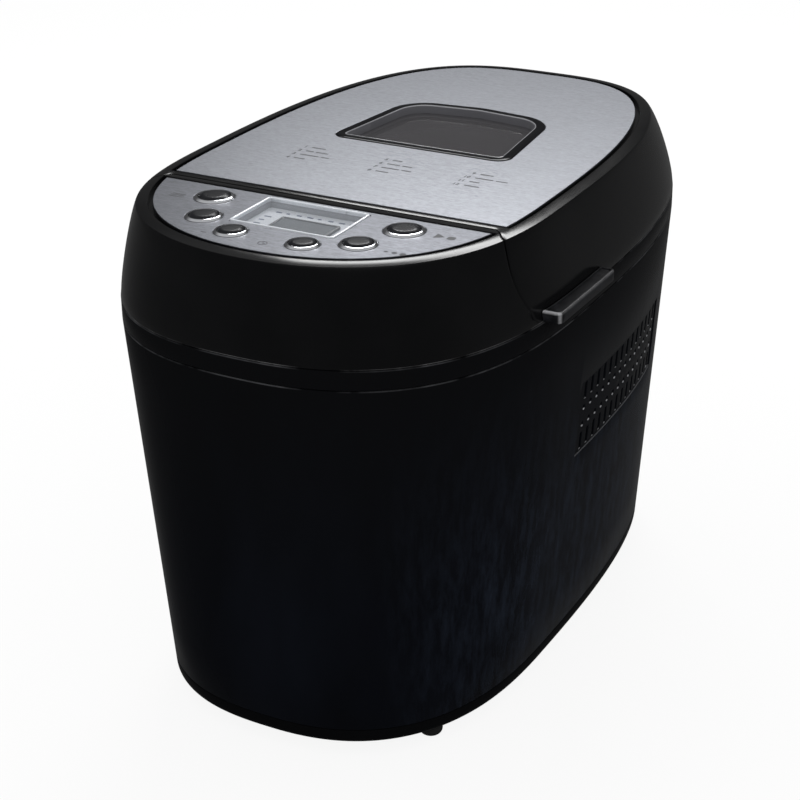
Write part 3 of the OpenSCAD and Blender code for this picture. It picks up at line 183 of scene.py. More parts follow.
def brushedSteel(shade, low, high, rough):  # long streaks with a fine, broken grain
    def recipe(here):
        streak = here.stretch(90, 700, 700).noise(1, 3, 0.6)
        fine = here.stretch(320, 1500, 1500).noise(1, 3, 0.75)
        cloud = here.stretch(20, 40, 40).noise(1, 4, 0.6)
        mottle = here.stretch(330, 560, 560).noise(1, 3, 0.7)
        tone = streak * 0.25 + fine * 0.42 + cloud * 0.07 + mottle * 0.26
        return {
            "Base Color": tone.span(0.4, 0.6).blend(*shades(shade, low, high)),
            "Metallic": 1.0,
            "Roughness": tone.span(0.3, 0.7, rough + 0.07, rough - 0.06),
            "Normal": (streak * 0.5 + fine + mottle * 0.6).bump(0.14, 0.0002),
        }
    return recipe


def metal(shade, rough, spread=0.06, size=180):
    def recipe(here):
        cloud = here.noise(30, 4)
        fine = here.noise(size, 3)
        tone = cloud * 0.6 + fine * 0.4
        return {
            "Base Color": tone.span(0.3, 0.7).blend(*shades(shade, 1 - spread, 1 + spread)),
            "Metallic": 1.0,
            "Roughness": tone.span(0.3, 0.7, rough * 0.8, rough * 1.25),
            "Normal": fine.bump(0.04, 0.0003),
        }
    return recipe


def spangle(shade, rough):  # galvanised sheet
    def recipe(here):
        flake = here.make("ShaderNodeTexVoronoi", {}, {"Vector": here, "Scale": 130.0}, 1)
        tone = here.noise(60, 3) * 0.5 + flake.make("ShaderNodeSeparateColor", {}, {0: flake}) * 0.5
        return {
            "Base Color": tone.span(0.2, 0.8).blend(*shades(shade, 0.84, 1.12)),
            "Metallic": 1.0,
            "Roughness": tone.span(0.2, 0.8, rough * 0.8, rough * 1.2),
        }
    return recipe


def coating(shade, rough):  # dark non-stick coat with pale flecks
    def recipe(here):
        fleck = here.noise(1400, 2).span(0.66, 0.7)
        cloud = here.noise(20, 3)
        base = cloud.span(0.3, 0.7).blend(*shades(shade, 0.85, 1.15))
        return {
            "Base Color": fleck.blend(base, (0.32, 0.32, 0.33)),
            "Roughness": cloud.span(0.3, 0.7, rough * 0.9, rough * 1.15),
            "Metallic": 0.3,
            "Normal": here.noise(700, 2).bump(0.08, 0.0002),
        }
    return recipe


def rubber(shade):
    return plastic(shade, 0.62, 0.2, 0.35, 1600)


def clear(shade, alpha, edgeAlpha, rough, specular):
    def recipe(here):  # less clear where the glass turns away
        edge = here.make("ShaderNodeLayerWeight", {}, {"Blend": 0.35}, 1)
        smear = here.noise(26, 3)
        return {
            "Base Color": smear.span(0.3, 0.7).blend(*shades(shade, 0.95, 1)),
            "Roughness": smear.span(0.35, 0.7, rough, rough * 2.2),
            "Specular IOR Level": specular,
            "Alpha": edge.span(0, 1, alpha, edgeAlpha),
        }
    return recipe


def boardGreen(here):
    track = here.stretch(240, 90, 90).noise(1, 0).span(0.5, 0.53)
    return {
        "Base Color": track.blend((0.03, 0.17, 0.08), (0.06, 0.27, 0.13)),
        "Roughness": track.span(0, 1, 0.42, 0.3),
        "Normal": track.bump(0.2, 0.0001),
    }


seamHighlightLines = {  # painted highlights along the edges of the seams, from and to a height in mm
    "case": ((220.1, 220.95), (230.9, 231.7)),
    "lid": ((231.8, 232.5),),
}


def seamHighlightBands(here, lines):  # painted highlight lines, broken up along their length
    up = here.part("Z")
    total = 0.0
    for low, high in lines:
        middle, half = (low + high) / 2 * mm, (high - low) / 2 * mm
        away = (up - middle).sum("ABSOLUTE")
        total = away.span(half, half * 0.6) + total
    return total * here.stretch(24, 24, 5).noise(1, 4, 0.7).span(0.4, 0.62)


def caseGloss(here):  # deep black, bluer lower down, with polish swirls, painted reflection streaks low on the right flank and painted highlights along the seams
    swirl = here.stretch(9, 9, 3.2).noise(1, 4, 0.62)
    smear = here.stretch(210, 150, 38).noise(1, 6, 0.74)
    fine = here.noise(700, 2)
    x, z = here.part("X"), here.part("Z")
    deep = swirl.span(0.42, 0.72).blend((0.0032, 0.0036, 0.005), (0.0052, 0.0062, 0.0096))
    # painted reflection: pale bluish streaks low on the right flank
    flankReflectionStreaks = smear.span(0.42, 0.74) * x.span(0.06, 0.108) * z.span(0.22, 0.1)
    low = flankReflectionStreaks.blend(deep, (0.015, 0.02, 0.031))
    body = z.span(0.08, 0.24).blend(low, (0.0046, 0.0047, 0.0052))
    return {
        # painted highlights along the seam edges
        "Base Color": seamHighlightBands(here, seamHighlightLines["case"]).blend(body, (0.055, 0.056, 0.06)),
        "Roughness": swirl.span(0.3, 0.7, 0.14, 0.24) + fine * 0.02,
        "Specular IOR Level": 0.02,
        "Normal": swirl.bump(0.06, 0.002),
    }


def lidGloss(here):
    cloud = here.noise(18, 4)
    fine = here.noise(1300, 2)
    body = cloud.span(0.35, 0.65).blend((0.0036, 0.0037, 0.0041), (0.0052, 0.0053, 0.0058))
    return {
        # painted highlight along the lid's lower seam edge
        "Base Color": seamHighlightBands(here, seamHighlightLines["lid"]).blend(body, (0.12, 0.12, 0.124)),
        "Roughness": cloud.span(0.3, 0.7, 0.12, 0.18) + fine * 0.02,
        "Specular IOR Level": 0.18,
        "Normal": fine.bump(0.05, 0.0001),
    }


gripSet = {
    "x": (113.0, 127.3),
    "y": (-85.7, -15.7),
    "z": (232.2, 238.4),
    "corner": 3.5,
    "lip": 1.4,
    "recess": 0.8,
    "tuck": 0.3,        # how far its top reaches under the lid's edge
    "tuckFrom": 236.2,
}


def gripGrey(here):  # dark moulding, with painted highlights along its front end and its long upper edge
    cloud = here.noise(160, 4, 0.7)
    x, y, z = (here.part(axis) for axis in "XYZ")
    side, front, top = spot(gripSet["x"][1], gripSet["y"][0], gripSet["z"][1])
    end = y.span(front + 0.0022, front + 0.0006)
    gripFrontHighlight = end * z.span(top - 0.0016, top - 0.0003) + end * x.span(side - 0.0022, side - 0.0008) * 0.7
    # painted highlight along the long upper outer edge
    long = x.span(side - 0.0016, side - 0.0003) * z.span(top - 0.0016, top - 0.0004) * 0.13
    body = cloud.span(0.4, 0.66).blend((0.006, 0.0062, 0.0074), (0.021, 0.0215, 0.0245))
    return {
        "Base Color": ((gripFrontHighlight + long) * cloud.span(0.3, 0.6, 0.55, 1)).blend(body, (0.6, 0.6, 0.62)),
        "Roughness": cloud.span(0.3, 0.7, 0.28, 0.4),
        "Specular IOR Level": 0.16,
        "Normal": cloud.bump(0.12, 0.0003),
    }


# plastic: shade, gloss, grain, specular; metal: shade, roughness, spread, grain size
# brushed steel: shade, darkest, lightest, roughness; clear: shade, alpha, edge alpha, roughness, specular
finishes = {
    "case_gloss_black": caseGloss,
    "lid_black": lidGloss,
    "base_black": plastic((0.0028, 0.0029, 0.0035), 0.34, 0.1, 0.04),
    "vent_black": plastic((0.0042, 0.0047, 0.0062), 0.24, 0.04, 0.02),
    "steel_plate": brushedSteel((0.254, 0.263, 0.288), 0.72, 1.28, 0.34),
    "window_black": plastic((0.007, 0.007, 0.0085), 0.12, 0.02, 0.05),
    "window_clear": clear((0.105, 0.102, 0.108), 0.36, 0.66, 0.06, 0.1),
    "grip_grey": gripGrey,
    "button_black": plastic((0.01, 0.0105, 0.013), 0.26, 0.05, 0.11),
    "button_chrome": metal((0.66, 0.67, 0.7), 0.11, 0.03, 60),
    "lens_clear": clear((0.5, 0.53, 0.57), 0.04, 0.24, 0.04, 0.3),
    "display_grey": plastic((0.3, 0.31, 0.33), 0.4, 0.1, 0.3),
    "display_white": plastic((0.72, 0.75, 0.8), 0.5, 0.04, 0.2),
    "display_lcd": plastic((0.07, 0.082, 0.094), 0.25, 0.03, 0.4),
    "board_green": boardGreen,
    "switch_black": plastic((0.02, 0.02, 0.02), 0.45, 0.1),
    "liner_metal": metal((0.62, 0.63, 0.64), 0.32),
    "oven_metal": metal((0.6, 0.61, 0.62), 0.34),
    "seal_rubber": rubber((0.03, 0.03, 0.032)),
    "foot_rubber": rubber((0.012, 0.012, 0.012)),
    "hinge_black": plastic((0.014, 0.0145, 0.016), 0.36, 0.1, 0.25),
    "pin_steel": metal((0.6, 0.61, 0.62), 0.2),
    "screw_steel": metal((0.62, 0.63, 0.64), 0.28),
    "element_steel": metal((0.2, 0.19, 0.19), 0.45, 0.2),
    "pan_coating": coating((0.045, 0.047, 0.05), 0.38),
    "cast_metal": metal((0.5, 0.51, 0.52), 0.42, 0.1, 500),
    "bush_bronze": metal((0.6, 0.42, 0.2), 0.38, 0.1, 600),
    "pulley_nylon": plastic((0.68, 0.66, 0.6), 0.42, 0.08, 0.4),
    "belt_rubber": rubber((0.01, 0.01, 0.01)),
    "motor_steel": metal((0.2, 0.205, 0.21), 0.4, 0.12),
    "fan_plastic": plastic((0.018, 0.026, 0.04), 0.4, 0.1),
    "chassis_steel": spangle((0.52, 0.53, 0.54), 0.36),
    "capacitor_white": plastic((0.7, 0.7, 0.67), 0.36, 0.05, 0.4),
    "inlet_black": rubber((0.014, 0.014, 0.014)),
}
finish = {name: surface(name, recipe) for name, recipe in finishes.items()}
# finer trim than the record's slots, with painted highlights for edges and a painted shade for the control
# plate's steel
# painted glints on the lower slopes of the vent holes' chamfers
slotGlintPaint = surface("slotGlintPaint", plastic((0.34, 0.345, 0.36), 0.3, 0.1, 0.3))
# painted faint highlights on edges of the vent panels and their openings
faintHighlightPaint = surface("faintHighlightPaint", plastic((0.1, 0.101, 0.108), 0.3, 0.1, 0.2))
# painted shade: a darker copy of the plate steel, for the control plate
shadedPanelSteel = surface("shadedPanelSteel", brushedSteel((0.15, 0.156, 0.174), 0.72, 1.28, 0.36))
printInk = surface("printInk", plastic((0.075, 0.077, 0.084), 0.5, 0.02, 0.2))
cardInk = surface("cardInk", plastic((0.1, 0.13, 0.2), 0.5, 0.02, 0.2))
# painted highlight: the raised rim round the lens is painted white
lensRimHighlight = surface("lensRimHighlight", plastic((0.8, 0.83, 0.88), 0.12, 0.02, 0.5))
smokedLining = surface("smokedLining", plastic((0.16, 0.16, 0.175), 0.3, 0.05, 0.3))
# painted highlight for the thin bead on the window frame's inner edge
windowEdgeHighlight = surface("windowEdgeHighlight", plastic((0.3, 0.3, 0.32), 0.2, 0.03, 0.5))
screenBezel = surface("screenBezel", plastic((0.05, 0.055, 0.06), 0.3, 0.03, 0.4))

for part in frame["record"]["subparts"]:
    mesh = frame["nodes"][part["node"]].data
    mesh.materials.clear()
    mesh.materials.append(finish[part["material_slot"]])
print("materials ready")


def startRing(bm, points):  # a ring of edges through the points
    ring = bmesh.ops.create_circle(bm, segments=len(points), radius=1)["verts"]
    for v, p in zip(ring, points):
        v.co = p
    return ring


def ringEdges(bm, ring):
    return [bm.edges.get((a, b)) for a, b in zip(ring, ring[1:] + ring[:1])]


def nextRing(bm, ring, points):  # extrudes the ring to the next points
    made = bmesh.ops.extrude_edge_only(bm, edges=ringEdges(bm, ring))["geom"]
    fresh = {v for v in made if isinstance(v, bmesh.types.BMVert)}
    twins = [next(e.other_vert(v) for e in v.link_edges if e.other_vert(v) in fresh) for v in ring]
    for v, p in zip(twins, points):
        v.co = p
    return twins


def loft(bm, rings):
    made = [startRing(bm, rings[0])]
    for points in rings[1:]:
        made.append(nextRing(bm, made[-1], points))
    return made


def joinRings(bm, a, b):
    bmesh.ops.bridge_loops(bm, edges=ringEdges(bm, a) + ringEdges(bm, b))


def fill(bm, *rings):
    edges = [e for ring in rings for e in ringEdges(bm, ring)]
    bmesh.ops.triangle_fill(bm, use_beauty=True, use_dissolve=False, edges=edges)


def roundEdges(bm, edges, offset):
    bmesh.ops.bevel(bm, geom=edges, offset=offset * mm, segments=2, profile=0.5,
                    affect="EDGES", material=-1, clamp_overlap=True)


def paintFaces(piece, paint, choose):  # gives the chosen faces of a piece their own paint, used for painted highlights
    piece.data.materials.append(paint)
    index = len(piece.data.materials) - 1
    for face in piece.data.polygons:
        if choose(face):
            face.material_index = index


def pieceFrom(name, bm, body, slot, stands=(), crease=35, paint=None):
    bmesh.ops.remove_doubles(bm, verts=bm.verts[:], dist=2e-6)
    bmesh.ops.dissolve_degenerate(bm, edges=bm.edges[:], dist=1e-7)
    bmesh.ops.recalc_face_normals(bm, faces=bm.faces[:])
    mesh = bpy.data.meshes.new(name)
    bm.to_mesh(mesh)
    bm.free()
    mesh.shade_smooth()
    mesh.set_sharp_from_angle(angle=math.radians(crease))
    mesh.materials.append(paint or finish[slot])
    piece = placed(name, mesh)
    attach(piece, body)
    if stands:
        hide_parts(*stands)
    return piece


def turned(bm, profile, x, y, steps=64):  # profile points are (radius, height) in mm
    verts = [bm.verts.new(spot(x + r, y, z)) for r, z in profile]
    edges = [bm.edges.new(pair) for pair in zip(verts, verts[1:])]
    bmesh.ops.spin(bm, geom=verts + edges, cent=spot(x, y, 0), axis=(0, 0, 1), angle=math.tau,
                   steps=steps, use_merge=True, use_duplicate=False)


case = {
    "size": (119.0, 152.0, 232.6),        # half width, reach ahead, reach behind
    "baseIn": (16.6, 12.9, 4.7),          # how far the foot of the case is drawn in
    "square": (2.46, 2.69, 3.93, 2.56),   # how square the outline is, ahead and behind, in x and y
    "widest": 40.3,                       # the widest station, ahead of the middle
    "wall": 2.5,
    "edge": 0.5,
    "bottom": 8.0,
    "bodyLow": 17.0,
    "bodyTop": 220.9,
    "ringPoints": 336,
}
topSet = {
    "plateIn": (18.4, 18.4, 25.1),        # the plates' outline, inside the case's
    "plateSquare": (2.11, 3.05, 3.2, 2.65),
    "low": 231.9,
    "high": 281.2,
    "roof": 276.0,
    "rimWidth": 8.9,
    "rimDrop": 1.0,
    "shoulderPower": 1.62,
    "shoulderRise": 4.3,
    "seam": -95.7,                        # between the housing and the lid
    "seamBend": (96, 21, 10.8, 1.2, 8, 5),  # from, over, dip and its power, rise and its power
    "gap": 0.5,
    "seamEdge": 0.45,
    "rim": 6.0,
    "frontRim": 4.5,
    "groove": 2.7,
    "plate": 1.2,
    "arcPoints": 250,
    "linePoints": 150,
}
turnStep = 0.004                          # for the direction of an outline, in radians


def signed(value, exponent):
    return math.copysign(abs(value) ** exponent, value)


def outlinePoint(turn, size, square):
    c, s = math.cos(turn), math.sin(turn)
    reach, powerX, powerY = (size[2], *square[2:]) if s >= 0 else (size[1], *square[:2])
    return size[0] * signed(c, 2 / powerX), reach * signed(s, 2 / powerY) - case["widest"]


def outline(size, square, grow):
    def ring(turn):
        ax, ay = outlinePoint(turn - turnStep, size, square)
        bx, by = outlinePoint(turn + turnStep, size, square)
        x, y = outlinePoint(turn, size, square)
        length = math.hypot(bx - ax, by - ay)
        return x + grow * (by - ay) / length, y - grow * (bx - ax) / length
    return ring


def caseRing(grow):
    return outline(case["size"], case["square"], grow)


def plateRing(grow):
    size = [a - b for a, b in zip(case["size"], topSet["plateIn"])]
    return outline(size, topSet["plateSquare"], grow)


def bodySize(z):
    share = (z - case["bottom"]) / (case["bodyTop"] - case["bottom"])
    return [a - b * (1 - share) for a, b in zip(case["size"], case["baseIn"])]


def bodyRing(z, inset):
    return outline(bodySize(z), case["square"], -inset)


def between(first, second, share):
    def ring(turn):
        (ax, ay), (bx, by) = first(turn), second(turn)
        return mix(ax, bx, share), mix(ay, by, share)
    return ring


def evenly(places, count, spans):  # where equal steps along a line of places fall
    lengths = [0.0]
    for a, b in zip(places, places[1:]):
        lengths.append(lengths[-1] + math.dist(a, b))
    j = 0
    for i in range(count):
        want = lengths[-1] * i / spans
        while j < len(places) - 2 and lengths[j + 1] < want:
            j += 1
        yield j, (want - lengths[j]) / max(lengths[j + 1] - lengths[j], 1e-9)


def evenTurns(ring, start, end, count, samples=1200):
    turns = [mix(start, end, i / samples) for i in range(samples + 1)]
    places = [ring(t) for t in turns]
    return [mix(turns[j], turns[j + 1], share) for j, share in evenly(places, count, count - 1)]


wholeTurns = evenTurns(caseRing(0), -math.pi / 2, 1.5 * math.pi, case["ringPoints"] + 1)[:-1]


def levelRing(ring, z):
    return [spot(*ring(turn), z) for turn in wholeTurns]


def hullRing(circles, count):  # the outline round a few (x, y, radius) circles
    places = []
    for i in range(720):
        a = math.radians(i / 2 - 90)
        n = (math.cos(a), math.sin(a))
        x, y, r = max(circles, key=lambda c: c[0] * n[0] + c[1] * n[1] + c[2])
        places.append((x + r * n[0], y + r * n[1]))
    places.append(places[0])
    return [tuple(mix(a, b, share) for a, b in zip(places[j], places[j + 1]))
            for j, share in evenly(places, count, count)]


def boxRing(x, y, width, length, radius, count=96):
    hx, hy = width / 2 - radius, length / 2 - radius
    return hullRing([(x + i * hx, y + j * hy, radius) for i in (-1, 1) for j in (-1, 1)], count)


def circleRing(x, y, radius, count=64):
    return hullRing([(x, y, radius)], count)


def raised(points, z):
    return [spot(x, y, z) for x, y in points]


def boxShape(x, y, width, length, radius, grow=-1, turn=0):  # a box's ring for an inset
    def ring(inset):
        return boxRing(x, y, width + 2 * grow * inset, length + 2 * grow * inset, radius + turn * inset)
    return ring


def slab(bm, outer, holes, low, high, edge):  # outer and holes give their ring for an inset
    tops, bottoms = [], []
    for shape in (outer, *holes):
        steps = [(0, low), (0, high - edge), (edge * 0.3, high - edge * 0.3), (edge, high)]
        made = loft(bm, [raised(shape(inset), z) for inset, z in steps])
        bottoms.append(made[0])
        tops.append(made[-1])
    fill(bm, *bottoms)
    fill(bm, *tops)


ventSet = {
    "columns": 14,
    "pitch": 9.1,
    "rowPitch": 10.4,
    "slot": 8.0,
    "hole": 2.6,
    "middle": (39.0, 151.5),
    "size": (133.4, 44.2),
    "recess": 0.6,
    "thick": 2.0,
    "chamfer": (0.5, 0.45),  # across and down
    "gap": 0.15,             # between the panel and its opening
}


def slabPiece(name, body, slot, outer, holes, levels, stands=(), crease=12, paint=None):
    bm = bmesh.new()
    slab(bm, outer, holes, *levels)  # levels are low, high and the rounding of the top edge
    pieceFrom(name, bm, body, slot, stands, crease, paint)


def wallX(y, z):  # half width of the outside of the case
    size = bodySize(z)
    rear = y + case["widest"] >= 0
    share = abs(y + case["widest"]) / (size[2] if rear else size[1])
    powerX, powerY = case["square"][2:] if rear else case["square"][:2]
    return size[0] * (1 - share ** powerY) ** (1 / powerX)


def bodyShell():
    bm = bmesh.new()
    low, high, wall, edge = case["bodyLow"], case["bodyTop"], case["wall"], case["edge"]
    soft = edge * 0.3
    steps = [(low, edge), (low + soft, soft), (low + edge, 0)]
    steps += [(mix(low, high, i / 8), 0) for i in range(1, 8)]
    steps += [(high - edge, 0), (high - soft, soft), (high, edge), (high, wall)]
    steps += [(mix(high, low, i / 8), wall) for i in range(1, 9)]
    rings = loft(bm, [levelRing(bodyRing(z, inset), z) for z, inset in steps])
    joinRings(bm, rings[0], rings[-1])
    (cy, cz), (width, height) = ventSet["middle"], ventSet["size"]
    first, last = spot(0, cy - width / 2, cz - height / 2), spot(0, cy + width / 2, cz + height / 2)
    for normal in ((0, 1, 0), (0, 0, 1)):
        for corner in (first, last):
            geom = bm.verts[:] + bm.edges[:] + bm.faces[:]
            bmesh.ops.bisect_plane(bm, geom=geom, plane_co=corner, plane_no=normal, dist=1e-7)

    def within(p, margin=0.0):
        return all(first[i] - margin < p[i] < last[i] + margin for i in (1, 2))

    middle = spot(0, 0, 0).x
    for side in (-1, 1):
        cut = [face for face in bm.faces if within(face.calc_center_median())
               and side * (face.calc_center_median().x - middle) > 0]
        bmesh.ops.delete(bm, geom=cut, context="FACES")
        rim = [e for e in bm.edges if e.is_boundary]
        bmesh.ops.bridge_loops(bm, edges=rim)
        outer = []
        for e in rim:
            _, y, z = e.verts[0].co / mm
            reach = sum(abs(v.co.x - middle) for v in e.verts) / 2
            if reach > (wallX(y - caseMiddle[1], z) - wall / 2) * mm:
                outer.append(e)
        roundEdges(bm, outer, edge)
    piece = pieceFrom("bodyShell", bm, "base", "case_gloss_black", ["body_shell"], 30)

    def lip(face):  # the rear and lower faces of the openings, painted pale as a highlight
        normal = face.normal
        lit = abs(normal.x) < 0.95 and max(normal.y, normal.z) > 0.25
        return lit and abs(face.center.x) > 0.09 and within(face.center, 0.0006)
    paintFaces(piece, faintHighlightPaint, lip)


def squareStep(k):  # the sides of a square in 16 steps, as a cosine, and four steps on as a sine
    return max(-1, min(1, (abs(k % 16 - 8) - 4) / 2))


def ventPanel(side, name, node):
    bm = bmesh.new()
    (cy, cz), (width, height) = ventSet["middle"], ventSet["size"]
    columns, pitch, rowPitch = ventSet["columns"], ventSet["pitch"], ventSet["rowPitch"]
    thick, r, (across, down) = ventSet["thick"], ventSet["hole"] / 2, ventSet["chamfer"]
    gap, frontDepth = ventSet["gap"], 0.01  # a point less deep than this is on the panel's front
    cell = [(pitch / 2 * squareStep(k), rowPitch / 2 * squareStep(k - 4)) for k in range(16)]
    hole = [(math.cos(math.tau * k / 16), math.sin(math.tau * k / 16)) for k in range(16)]
    for i in range(columns):
        for j in range(4):
            y = cy + (i - (columns - 1) / 2) * pitch
            z = cz + (j - 1.5) * rowPitch
            tall = ventSet["slot"] / 2 if j in (0, 3) else 0  # slots in the outer rows, holes between
            stretched = [(a, b, tall if b > 0.01 else -tall if b < -0.01 else 0) for a, b in hole]
            wide = [(a * (r + across), b * (r + across) + t) for a, b, t in stretched]
            narrow = [(a * r, b * r + t) for a, b, t in stretched]
            rings = [(cell, 0), (wide, 0), (narrow, down), (narrow, thick)]
            loft(bm, [[Vector((depth, y + a, z + b)) for a, b in ring] for ring, depth in rings])
    bmesh.ops.remove_doubles(bm, verts=bm.verts[:], dist=0.01)

    def frontEdges():
        return [e for e in bm.edges if e.is_boundary and max(v.co.x for v in e.verts) < frontDepth]

    for v in bmesh.ops.extrude_edge_only(bm, edges=frontEdges())["geom"]:
        if isinstance(v, bmesh.types.BMVert):
            dy, dz = v.co.y - cy, v.co.z - cz
            if abs(dy) > columns * pitch / 2 - 0.01:
                dy = math.copysign(width / 2 - gap, dy)
            if abs(dz) > 2 * rowPitch - 0.01:
                dz = math.copysign(height / 2 - gap, dz)
            v.co.y, v.co.z = cy + dy, cz + dz
    for v in bmesh.ops.extrude_edge_only(bm, edges=frontEdges())["geom"]:
        if isinstance(v, bmesh.types.BMVert):
            v.co.x = thick
    for v in bm.verts:
        depth, y, z = v.co
        v.co = spot(side * (wallX(y, z) - ventSet["recess"] - depth), y, z)
    piece = pieceFrom(name, bm, "base", "vent_black", [node], 40)

    def lower(face):  # the lower slopes of the chamfers, painted bright as glints
        return 0.3 < abs(face.normal.x) < 0.94 and face.normal.z > 0.35

    # the rear-facing slopes of the chamfers, painted as faint highlights
    def front(face):
        return 0.3 < abs(face.normal.x) < 0.94 and face.normal.z <= 0.35 and face.normal.y > 0.35
    paintFaces(piece, slotGlintPaint, lower)
    paintFaces(piece, faintHighlightPaint, front)


traySet = {
    "edge": 3.5,
    "gap": 0.15,                            # under the body shell
    "wall": (2.8, 4.8),                     # its upright rim, inside the body shell
    "lap": 5.0,
    "floor": 2.5,
    "screws": ((-60.0, 3.2), (70.0, 3.2)),  # distance behind the middle, radius of the counterbore
    "screwIn": 7.5,
    "sink": 2.0,
    "bore": 1.6,
}


def baseTray():
    bm = bmesh.new()
    low, edge, top = case["bottom"], traySet["edge"], case["bodyLow"]
    (outer, inner), gap = traySet["wall"], traySet["gap"]
    floor, sink, bore = low + traySet["floor"], low + traySet["sink"], traySet["bore"]
    rim = top + traySet["lap"]
    turns = [math.radians(a) for a in range(0, 91, 10)]
    steps = [(low + edge * (1 - math.cos(t)), edge * (1 - math.sin(t))) for t in turns]
    steps += [(top - 0.7, 0), (top - 2 * gap, gap), (top - gap, 0.5), (top - gap, outer), (rim, outer),
              (rim, inner), (floor, inner)]
    rings = loft(bm, [levelRing(bodyRing(z, inset), z) for z, inset in steps])
    pits, floors = [], []
    for y, r in traySet["screws"]:
        x = wallX(y, top) - case["wall"] - traySet["screwIn"]
        profile = ((r + 0.4, low), (r, low + 0.4), (r, sink), (bore, sink), (bore, floor))
        for side in (-1, 1):
            pit = loft(bm, [raised(circleRing(side * x, y, radius, 32), z) for radius, z in profile])
            pits.append(pit[0])
            floors.append(pit[-1])
    fill(bm, rings[0], *pits)
    fill(bm, rings[-1], *floors)
    pieceFrom("baseTray", bm, "base", "base_black", ["base_tray"], 30)


footSet = {
    "radius": 6.5,
    "height": 8.0,
    "round": 3.25,
    "dimple": (1.9, 2.2, 0.5),
    "places": ((-76, -130.5), (76, -130.5), (-72, 134), (72, 134)),
}


def rubberFeet():
    bm = bmesh.new()
    r, h, bend = footSet["radius"], footSet["height"], footSet["round"]
    inner, outer, depth = footSet["dimple"]
    profile = [(0.001, depth), (inner, depth), (outer, 0)]
    profile += [(r - bend + bend * math.sin(math.radians(a)), bend - bend * math.cos(math.radians(a)))
                for a in range(0, 91, 9)]
    profile += [(r, h - 0.4), (r - 0.3, h - 0.05), (0.001, h - 0.05)]
    for x, y in footSet["places"]:
        turned(bm, profile, x, y, 48)
    pieceFrom("rubberFeet", bm, "base", "foot_rubber", ["rubber_feet"], 40)


bandSet = {
    "low": 221.2,
    "high": 231.6,
    "wall": 3.5,
    "deck": (223.0, 226.0),
    "chamber": (168.0, 222.0, 36.0, 30.0),  # width, length, middle and corner of its opening
    "skirt": (3.6, 5.6, 211.2),             # outer and inner face, lower end
}


def topBand():
    bm = bmesh.new()
    low, high, wall = bandSet["low"], bandSet["high"], bandSet["wall"]
    under, deck = bandSet["deck"]
    width, length, cy, radius = bandSet["chamber"]
    outerSkirt, innerSkirt, skirtLow = bandSet["skirt"]
    steps = [(under, innerSkirt), (skirtLow, innerSkirt), (skirtLow, outerSkirt), (low, outerSkirt)]
    steps += [(low, 0.5), (low + 0.15, 0.15), (low + 0.5, 0), (high - 0.6, 0), (high - 0.18, 0.18),
              (high, 0.6), (high, wall - 0.5), (high - 0.5, wall), (deck, wall)]
    rings = loft(bm, [levelRing(caseRing(-inset), z) for z, inset in steps])
    hole = loft(bm, [raised(boxRing(0, cy, width + a, length + a, radius, 160), z) for a, z in
                     ((0, under), (0, deck - 0.4), (0.8, deck))])
    fill(bm, rings[0], hole[0])
    fill(bm, rings[-1], hole[-1])
    pieceFrom("topBand", bm, "base", "case_gloss_black", ["top_deck"], 30)


for build in (bodyShell, baseTray, rubberFeet, topBand):
    build()
ventPanel(1, "ventPanelRight", "vent_grille_right")
ventPanel(-1, "ventPanelLeft", "vent_grille_left")
print("case made")


def seamLine(shift):  # straight across the top, bent where it runs down the sides
    start, over, dip, dipPower, rise, risePower = topSet["seamBend"]

    def line(x):
        u = min(max((abs(x) - start) / over, 0), 1)
        return topSet["seam"] + shift - dip * math.sin(math.pi * u ** dipPower) + rise * u ** risePower
    return line


def straightLine(y):
    return lambda x: y


def crossing(ring, line):  # the turn at which a ring meets a line across it
    high, low = 0.0, 0.0
    for i in range(1, 90):
        low = -math.radians(i)
        x, y = ring(low)
        if y < line(x):
            break
        high = low
    for _ in range(40):
        middle = (low + high) / 2
        x, y = ring(middle)
        low, high = (low, middle) if y >= line(x) else (middle, high)
    return (low + high) / 2


def halfRing(ring, line, behind, arcPoints=topSet["arcPoints"], linePoints=topSet["linePoints"]):
    turn = crossing(ring, line)  # the part of a ring on one side of a line across it
    end = (math.pi if behind else -math.pi) - turn
    arc = [ring(t) for t in evenTurns(ring, turn, end, arcPoints, 700)]
    reach = arc[0][0]
    across = [mix(-reach, reach, i / (linePoints + 1)) for i in range(1, linePoints + 1)]
    return arc + [(x, line(x)) for x in across]


def shoulderRing(turn, inset, ceiling):  # from the rim at a turn of 0 down to the wall at a quarter turn
    power = topSet["shoulderPower"]
    rise, out = math.cos(turn) ** power, math.sin(turn) ** power
    foot = topSet["low"] + topSet["shoulderRise"]
    ring = between(plateRing(topSet["rimWidth"] - inset), caseRing(-0.5 - inset), out)
    return ring, foot + (ceiling - foot) * rise


